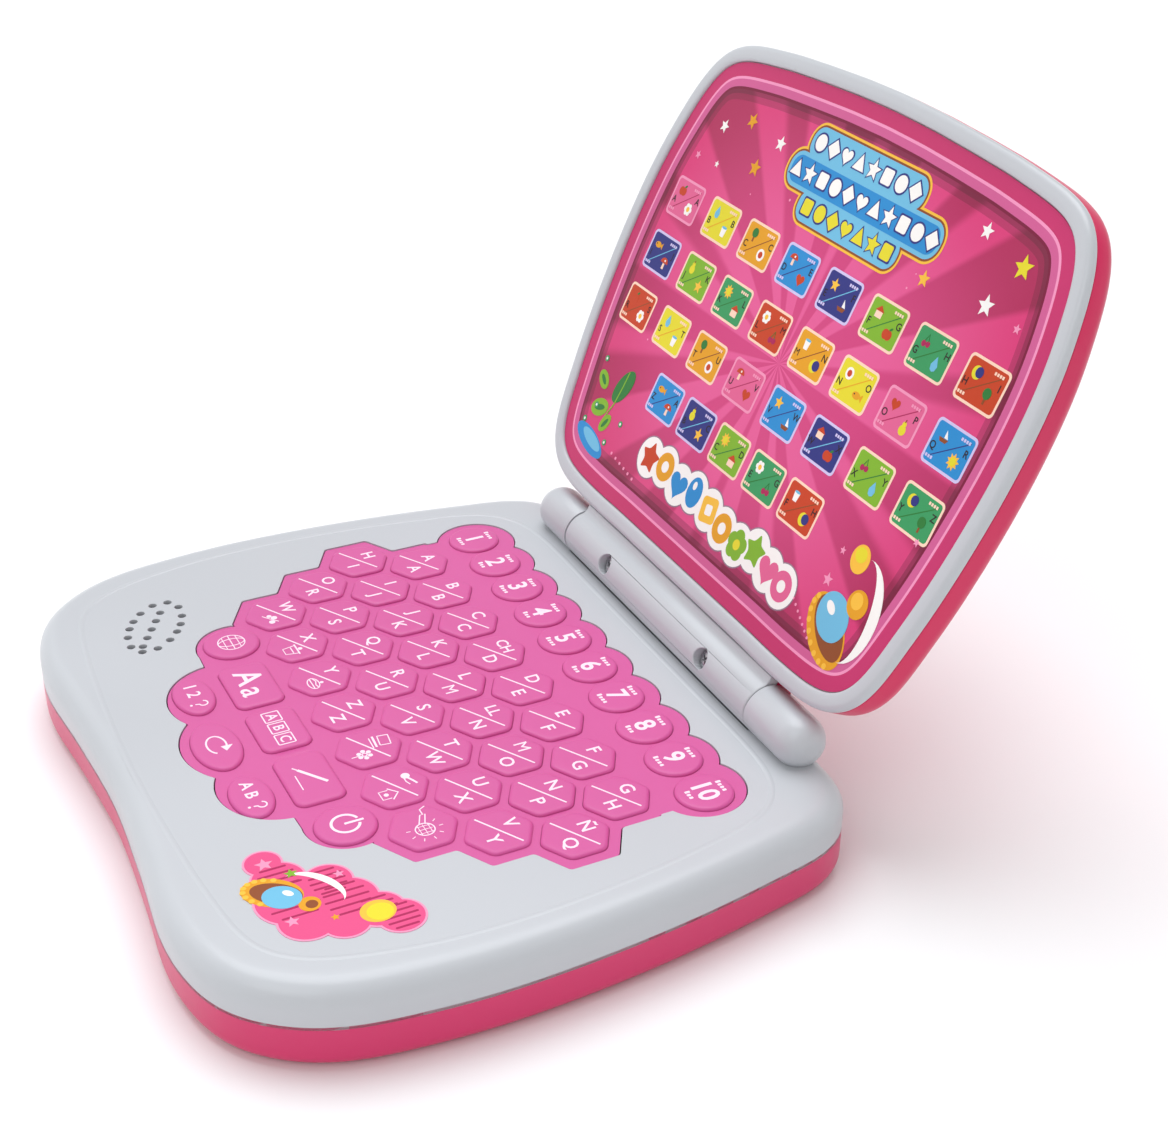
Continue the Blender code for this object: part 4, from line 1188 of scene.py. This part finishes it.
MINIS = ["apple", "ball", "sun", "moon", "star", "drop", "heart", "flower", "fish", "house", "tree",
         "boat", "cup", "pear", "cherry", "mushroom"]


def tiles(art):
    """Rows of bordered tiles, each with two small pictures, two letters and rows of marks."""
    count = 0
    for y, first, step, colours in TILE_ROWS:
        for k, colour in enumerate(colours):
            x = first + step * k
            border = CREAM if colour in (YELLOW, ORANGE, LIME, RED, GREEN) else ROSE
            if colour in (BLUE, NAVY):
                border = ink("pale", 206, 196, 236)
            art.shape(rounded_rectangle(x, y, 8.1, 6.15, 1.5, 4), border, 0)
            art.shape(rounded_rectangle(x, y, 7.35, 5.4, 1.0, 4), colour, 1)
            art.stroke([(x - 6.2, y - 4.3), (x + 6.2, y + 4.3)], 0.28, shade_of(colour), 2)
            first_icon, second_icon = MINIS[(5 * count) % 16], MINIS[(5 * count + 7) % 16]
            mini(art, first_icon, x - 3.4, y + 2.0, 0.95)
            mini(art, second_icon, x + 3.0, y - 2.0, 1.0)
            a, b = TILE_LETTERS[count % len(TILE_LETTERS)]
            art.text(a, 2.9, x - 6.0, y - 1.2, BLACK, 3, 0.04)
            art.text(b, 2.9, x + 6.0, y + 1.2, BLACK, 3, 0.04)
            for side in (-1, 1):
                for dot in range(4):
                    art.shape(rounded_rectangle(x + side * (3.0 + dot * 1.0) - (1.5 if side < 0 else 0.4),
                                                y + side * 4.1, 0.36, 0.42, 0.15, 2), border, 3)
            count += 1


def shade_of(colour):
    return {YELLOW: ORANGE, ORANGE: BROWN, BLUE: NAVY, NAVY: SKY, LIME: LEAF, GREEN: LEAF,
            RED: BROWN, PINK: CRIMSON}[colour]


def badge(art):
    """A stepped title plate with rows of plain shapes in place of words."""
    bars = [(-0.6, 138.0, 27.0, 4.6), (3.6, 129.2, 36.2, 5.0), (2.4, 121.2, 24.0, 4.4)]
    for grow, colour, layer in ((1.5, GOLD, 1), (0.8, BROWN, 2), (0.2, SKY, 3), (-1.0, BLUE, 4)):
        cells = [rounded_rectangle(x, y, half_x + grow, half_y + grow, half_y + grow - 0.4, 10)
                 for x, y, half_x, half_y in bars]
        art.shape(outer_outline(cells), colour, layer)
    rows = [(138.3, -23.4, 6.5, 8, WHITE), (129.3, -28.7, 6.5, 11, WHITE), (121.0, -17.0, 6.5, 7, YELLOW)]
    for y, first, step, count, colour in rows:
        for k in range(count):
            x = first + step * k
            for grow, tone, layer in ((0.55, NAVY, 6), (0.0, colour, 7)):
                size = 2.45 + grow
                shapes = [
                    polygon(x, y, size, 24),
                    rounded_rectangle(x, y, size * 0.9, size * 0.9, 0.7, 4),
                    star(x, y, size * 1.25),
                    polygon(x, y - 0.5, size * 1.25, 3),
                    heart(x, y, size),
                    polygon(x, y, size * 1.15, 4),
                ]
                art.shape(shapes[(k * 5 + int(y)) % 6], tone, layer)


def word_art(art):
    """A chain of bright shapes with one white border where the photo has a word."""
    colours = [RED, ORANGE, BLUE, BLUE, GOLD, ORANGE, LIME, LIME, PINK, PINK]
    tops = [34.2, 35.0, 33.4, 34.8, 33.6, 32.0, 31.2, 33.4, 31.6, 30.6]
    xs = [-35.0, -26.2, -17.0, -8.6, 0.8, 9.6, 18.4, 26.6, 34.8, 42.6]
    kinds = ["star", "ring", "heart", "drop", "square", "ring", "flower", "star", "heart", "ring"]
    for grow, tone, layer in ((2.1, ink("shadow", 150, 120, 140), 1), (1.7, WHITE, 2)):
        cells = [polygon(x, y, 4.6 + grow, 30) for x, y in zip(xs, tops)]
        art.shape(outer_outline(cells), tone, layer)
    for x, y, colour, kind in zip(xs, tops, colours, kinds):
        size = 4.6
        if kind == "star":
            art.shape(filleted(star(x, y, size * 1.1, 5, 0.55), 0.8, 3), colour, 3)
        elif kind == "heart":
            art.shape(heart(x, y, size * 0.95), colour, 3)
        elif kind == "square":
            art.shape(rounded_rectangle(x, y, size * 0.82, size * 0.82, 1.4, 5, 12), colour, 3)
            art.shape(rounded_rectangle(x, y, size * 0.34, size * 0.34, 0.6, 5, 12), WHITE, 4)
        elif kind == "flower":
            cells = [polygon(x + size * 0.5 * math.cos(TAU * k / 5 + 0.3),
                             y + size * 0.5 * math.sin(TAU * k / 5 + 0.3), size * 0.5, 22)
                     for k in range(5)]
            art.shape(outer_outline(cells), colour, 3)
            art.oval(x, y, size * 0.34, 20, YELLOW, 4)
        elif kind == "drop":
            art.oval(x, y, size * 0.78, 28, colour, 3, 1.3)
            art.oval(x - 0.8, y + 1.8, size * 0.2, 18, WHITE, 4, 1.4)
        else:
            art.oval(x, y, size * 0.95, 30, colour, 3)
            art.oval(x, y, size * 0.38, 20, WHITE, 4)


def crescent(x, y, half_x, half_y, turn):
    """A moon with pointed ends."""
    steps = [math.pi * k / 20 for k in range(21)]
    outer = [Vector((half_y * math.cos(a), half_x * math.sin(a))) for a in steps]
    inner = [Vector((half_y * math.cos(a), half_x * 0.62 * math.sin(a))) for a in steps[-2:0:-1]]
    return [Vector((x, y)) + turned(p, math.radians(turn - 180)) for p in outer + inner]


def corner_pictures(art):
    """A pond with leaves on the left, a ringed planet and a moon on the right."""
    art.oval(-68, 25.5, 9.5, 32, BLUE, 1, 0.34, -12)
    art.oval(-67, 26.1, 6.4, 32, SKY, 2, 0.30, -12)
    for x, y, r, turn in ((-70, 36, 4.6, 20), (-74, 44, 3.6, -30), (-64, 33, 3.4, 60)):
        art.oval(x, y, r, 26, LIME, 3, 0.62, turn)
        art.oval(x, y, r * 0.6, 20, LEAF, 4, 0.35, turn)
    art.oval(-62.5, 46, 6.4, 30, LEAF, 3, 0.55, 64)
    art.stroke([(-62.5, 51), (-62.8, 46), (-63.5, 40), (-66, 33)], 0.5, LIME, 4)
    for x, y in ((-72, 36), (-75, 30), (-60, 28), (-56, 36), (-77, 50)):
        art.oval(x, y, 1.0, 14, GREEN, 5)
        art.oval(x, y, 0.45, 10, WHITE, 6)
    for k in range(6):
        art.oval(-54 + 3.0 * k, 27.0 - 0.4 * k, 0.5, 10, ROSE, 2)
    art.oval(65.5, 29.5, 11.0, 40, ORANGE, 2, 0.62, -38)
    art.oval(66.2, 30.6, 9.6, 40, BROWN, 3, 0.52, -38)
    for k in range(9):
        angle = math.radians(180 + 19 * k)
        spot = turned(Vector((10.2 * math.cos(angle), 6.0 * math.sin(angle))), math.radians(-38))
        art.oval(65.5 + spot.x, 29.5 + spot.y, 0.85, 14, GOLD, 4)
    art.oval(65.6, 33.6, 7.0, 36, SKY, 5, 0.86, -38)
    art.oval(63.6, 35.4, 2.2, 24, WHITE, 6, 0.6, -30)
    art.shape(crescent(71.5, 38.5, 9.8, 14.0, 100), WHITE, 4)
    art.oval(71.8, 40.5, 3.9, 26, ORANGE, 5)
    art.oval(71.2, 41.2, 2.3, 22, GOLD, 6)
    art.oval(65.3, 50.5, 3.6, 30, GOLD, 3, 1.1)
    art.oval(65.0, 51.6, 2.3, 24, YELLOW, 4, 0.9)
    for k in range(7):
        art.oval(49 + 1.9 * k, 30.5 - 1.0 * k, 0.42, 10, ROSE, 2)


def sparkle(art):
    """Stars by the corners, and a ring of small dots at random places."""
    for x, y, size, colour in (
            (-58.1, 134.8, 2.6, ORANGE), (-70.3, 129.7, 2.2, WHITE), (-40.8, 132.8, 2.4, WHITE),
            (-47.5, 123.3, 2.8, ORANGE), (53.3, 137.8, 2.4, WHITE), (70.6, 134.0, 3.4, YELLOW),
            (39.8, 119.8, 2.4, GOLD), (64.7, 121.7, 3.0, WHITE), (57.7, 40.7, 2.0, ROSE),
            (78, 120.5, 1.4, ROSE), (-77, 118.5, 1.4, ROSE), (-66, 118.8, 1.1, WHITE),
            (58.0, 49.5, 1.2, ROSE), (80.5, 63.0, 1.2, ROSE)):
        art.shape(star(x, y, size, turn=12 * math.sin(x)), colour, 2)
    for k in range(26):
        angle, reach = random.uniform(0, TAU), random.uniform(0.75, 0.95)
        x, y = 74 * reach * math.cos(angle), 84 + 52 * reach * math.sin(angle)
        if abs(y - 78) > 36 or abs(x) > 60:
            art.shape(polygon(x, y, random.uniform(0.22, 0.5), 8), ROSE, 0)


def lid_picture():
    """The panel, with stepped bands along its edge, and the print that lies on it."""
    edit = bmesh.new()
    rings = [inset(picture_loop, d) for d in (0.3, 4.5, 5.3, 7.6, 8.4, 9.7, 11.6)]
    low = PICTURE_Z - 0.4
    top = [[edit.verts.new((p.x, p.y, PICTURE_Z)) for p in ring] for ring in rings]
    foot = [edit.verts.new((p.x, p.y, low)) for p in rings[0]]
    count = len(foot)
    for i in range(count):
        j = (i + 1) % count
        edit.faces.new((foot[i], foot[j], top[0][j], top[0][i]))
        for band in range(6):
            face = edit.faces.new((top[band][i], top[band][j], top[band + 1][j], top[band + 1][i]))
            face.material_index = band
    edit.faces.new(top[6]).material_index = 6
    edit.faces.new(foot[::-1])
    panel = new_object("lid_picture", edit, LID_FRAME)
    paints = ["band_pink", "band_light", "band_mauve", "band_dark", "picture_shade", "picture_dusk",
              "picture"]
    finished(panel, "lid", paints, ["lid_picture_panel"])
    art = Art(PICTURE_Z)
    sparkle(art)
    tiles(art)
    badge(art)
    word_art(art)
    corner_pictures(art)
    print_layer = new_object("lid_print", art.edit, LID_FRAME)
    finished(print_layer, "lid", art.inks)


# ------------------------------------------------------------------ sticker
def sticker():
    """A cloud of discs on the base's front corner, with a planet, a moon and stars."""
    discs = [(53, -59.5, 5.0), (60.5, -58, 7.0), (69, -57.5, 9.4), (77.5, -56.5, 7.5),
             (66, -47.5, 6.5), (74, -45.5, 8.0), (81.5, -48.5, 6.4), (81, -40, 6.6),
             (85.4, -36.2, 6.2)]
    art = Art(FACE_Z + 0.12)
    art.floor = FACE_Z + 0.02
    outline = outer_outline([polygon(x, y, r, 40) for x, y, r in discs])
    art.shape(outline, ROSE, 0)
    art.shape(outer_outline([polygon(x, y, r - 0.55, 40) for x, y, r in discs]),
              ink("candy", 226, 78, 134), 1)
    for x, y, r in discs[1:3] + discs[4:6] + discs[7:]:
        for k in range(5):
            spot = x + (k - 2) * r * 0.32
            reach = math.sqrt(max(0.1, 1 - ((k - 2) * 0.36) ** 2)) * r * 0.7
            art.shape(rounded_rectangle(spot, y, 0.35, reach, 0.3, 2), CRIMSON, 1.4)
    art.oval(64.6, -61.0, 7.8, 40, ORANGE, 2, 0.66, 52)
    art.oval(65.3, -60.2, 6.6, 40, BROWN, 3, 0.56, 52)
    for k in range(9):
        angle = math.radians(100 + 20 * k)
        spot = turned(Vector((7.2 * math.cos(angle), 4.6 * math.sin(angle))), math.radians(52))
        art.oval(64.6 + spot.x, -61.0 + spot.y, 0.75, 14, GOLD, 4)
    art.oval(67.2, -59.4, 4.9, 34, SKY, 5, 0.84, 52)
    art.oval(66.4, -57.6, 1.5, 22, WHITE, 6, 0.6, 40)
    art.shape(crescent(67.5, -51.5, 5.4, 8.6, 214), WHITE, 3)
    art.oval(72.3, -54.2, 2.7, 24, ORANGE, 4)
    art.oval(72.6, -53.8, 1.5, 20, BROWN, 5)
    art.oval(81.6, -40.6, 4.0, 30, GOLD, 3, 1.1)
    art.oval(82.0, -40.2, 3.1, 26, YELLOW, 4, 1.05)
    for x, y, size, colour in ((53.6, -59.4, 2.4, ROSE), (59.6, -54.6, 1.8, LIME), (76.6, -60.0, 1.9, ROSE),
                               (79.4, -50.4, 1.2, ORANGE), (64.6, -44.2, 1.5, ROSE)):
        art.shape(star(x, y, size, turn=14), colour, 3)
    thing = new_object("front_sticker", art.edit)
    return finished(thing, "base", art.inks, ["base_sticker"])


# ----------------------------------------------------------------- assembly
base_top()
landing_line()
base_bottom()
battery_door()
keypad_mat()
keys()
lid_rim()
lid_back()
hinge_cover()
lid_picture()
sticker()
for node, paint in (("circuit_board", "board_green"), ("speaker", "speaker_paper"),
                    ("speaker_wire", "wire_red"), ("battery_1", "cell_wrap"),
                    ("battery_2", "cell_wrap"), ("battery_3", "cell_wrap"),
                    ("battery_contact_left", "steel"), ("battery_contact_right", "steel")):
    data = frame["nodes"][node].data
    data.materials.clear()
    data.materials.append(PAINTS[paint])
for number in (1, 2, 3, 4):
    spot = middle_mm(f"case_screw_{number}")
    screw(f"bottom_screw_{number}", f"case_screw_{number}", (spot.x, spot.y, 5.5), (0, 0, -1), "base",
          length=13.0)
spot = middle_mm("battery_door_screw")
screw("door_screw", "battery_door_screw", (spot.x, spot.y, 2.6), (0, 0, -1), "battery_door_set",
      length=11.0)
for side in ("left", "right"):
    screw(f"hinge_front_screw_{side}", f"hinge_screw_{side}",
          (middle_mm(f"hinge_screw_{side}").x, 0, 5.3), (0, 0, 1), "lid", LID_FRAME)

# ------------------------------------------------------------ stage and view
floor_edit = bmesh.new()
plate(floor_edit, rounded_rectangle(0, 0, 12000, 12000, 100), -2.0, -0.02)
floor = new_object("floor", floor_edit)
floor.data.materials.append(moulded("floor_white", rgb(246, 246, 247), (0.7, 0.8), 200, 0.0, 0.004))

world = bpy.data.worlds.new("studio")
bpy.context.scene.world = world
world.use_nodes = True
sky = world.node_tree
sky.nodes["Background"].inputs["Color"].default_value = (1.0, 0.99, 0.98, 1)
sky_place = sky.nodes.new("ShaderNodeTexCoord")
sky_split = sky.nodes.new("ShaderNodeSeparateXYZ")
sky_fade = sky.nodes.new("ShaderNodeMapRange")
sky_fade.interpolation_type = "SMOOTHSTEP"
for socket, value in (("From Min", 0.05), ("From Max", 0.40), ("To Min", 1.0), ("To Max", 0.52)):
    sky_fade.inputs[socket].default_value = value
sky.links.new(sky_place.outputs["Generated"], sky_split.inputs[0])
sky.links.new(sky_split.outputs[2], sky_fade.inputs["Value"])
sky.links.new(sky_fade.outputs[0], sky.nodes["Background"].inputs["Strength"])


def softbox(name, place, size, power):
    """A square light aimed at the middle of the part."""
    light = bpy.data.lights.new(name, "AREA")
    light.size = size
    light.energy = power
    thing = bpy.data.objects.new(name, light)
    bpy.context.scene.collection.objects.link(thing)
    thing.location = place
    way = Vector((0, 0.02, 0.06)) - Vector(place)
    thing.rotation_euler = way.to_track_quat("-Z", "Y").to_euler()


softbox("key_light", (0.55, -0.75, 0.95), 0.7, 2.0)
softbox("fill_light", (-0.9, -0.5, 0.8), 0.9, 1.5)

overhead = bpy.data.lights.new("overhead_light", "SUN")
overhead.energy = 2.0
overhead.angle = math.radians(50)
overhead.color = (0.94, 0.97, 1.0)
overhead_thing = bpy.data.objects.new("overhead_light", overhead)
bpy.context.scene.collection.objects.link(overhead_thing)
overhead_thing.rotation_euler = Vector((0.35, -0.1, -1.0)).to_track_quat("-Z", "Y").to_euler()

camera_data = bpy.data.cameras.new("camera")
camera_data.lens = 59.57
camera_data.sensor_width = 36.0
camera = bpy.data.objects.new("camera", camera_data)
bpy.context.scene.collection.objects.link(camera)
AZIMUTH, ELEVATION, ROLL = math.radians(63.22), math.radians(29.88), math.radians(0.69)
camera.matrix_world = (Matrix.Translation((0.4187, -0.1576, 0.3210))
                       @ Matrix.Rotation(AZIMUTH, 4, "Z")
                       @ Matrix.Rotation(math.pi / 2 - ELEVATION, 4, "X")
                       @ Matrix.Rotation(ROLL, 4, "Z"))
bpy.context.scene.camera = camera
bpy.context.scene.view_settings.view_transform = "Standard"
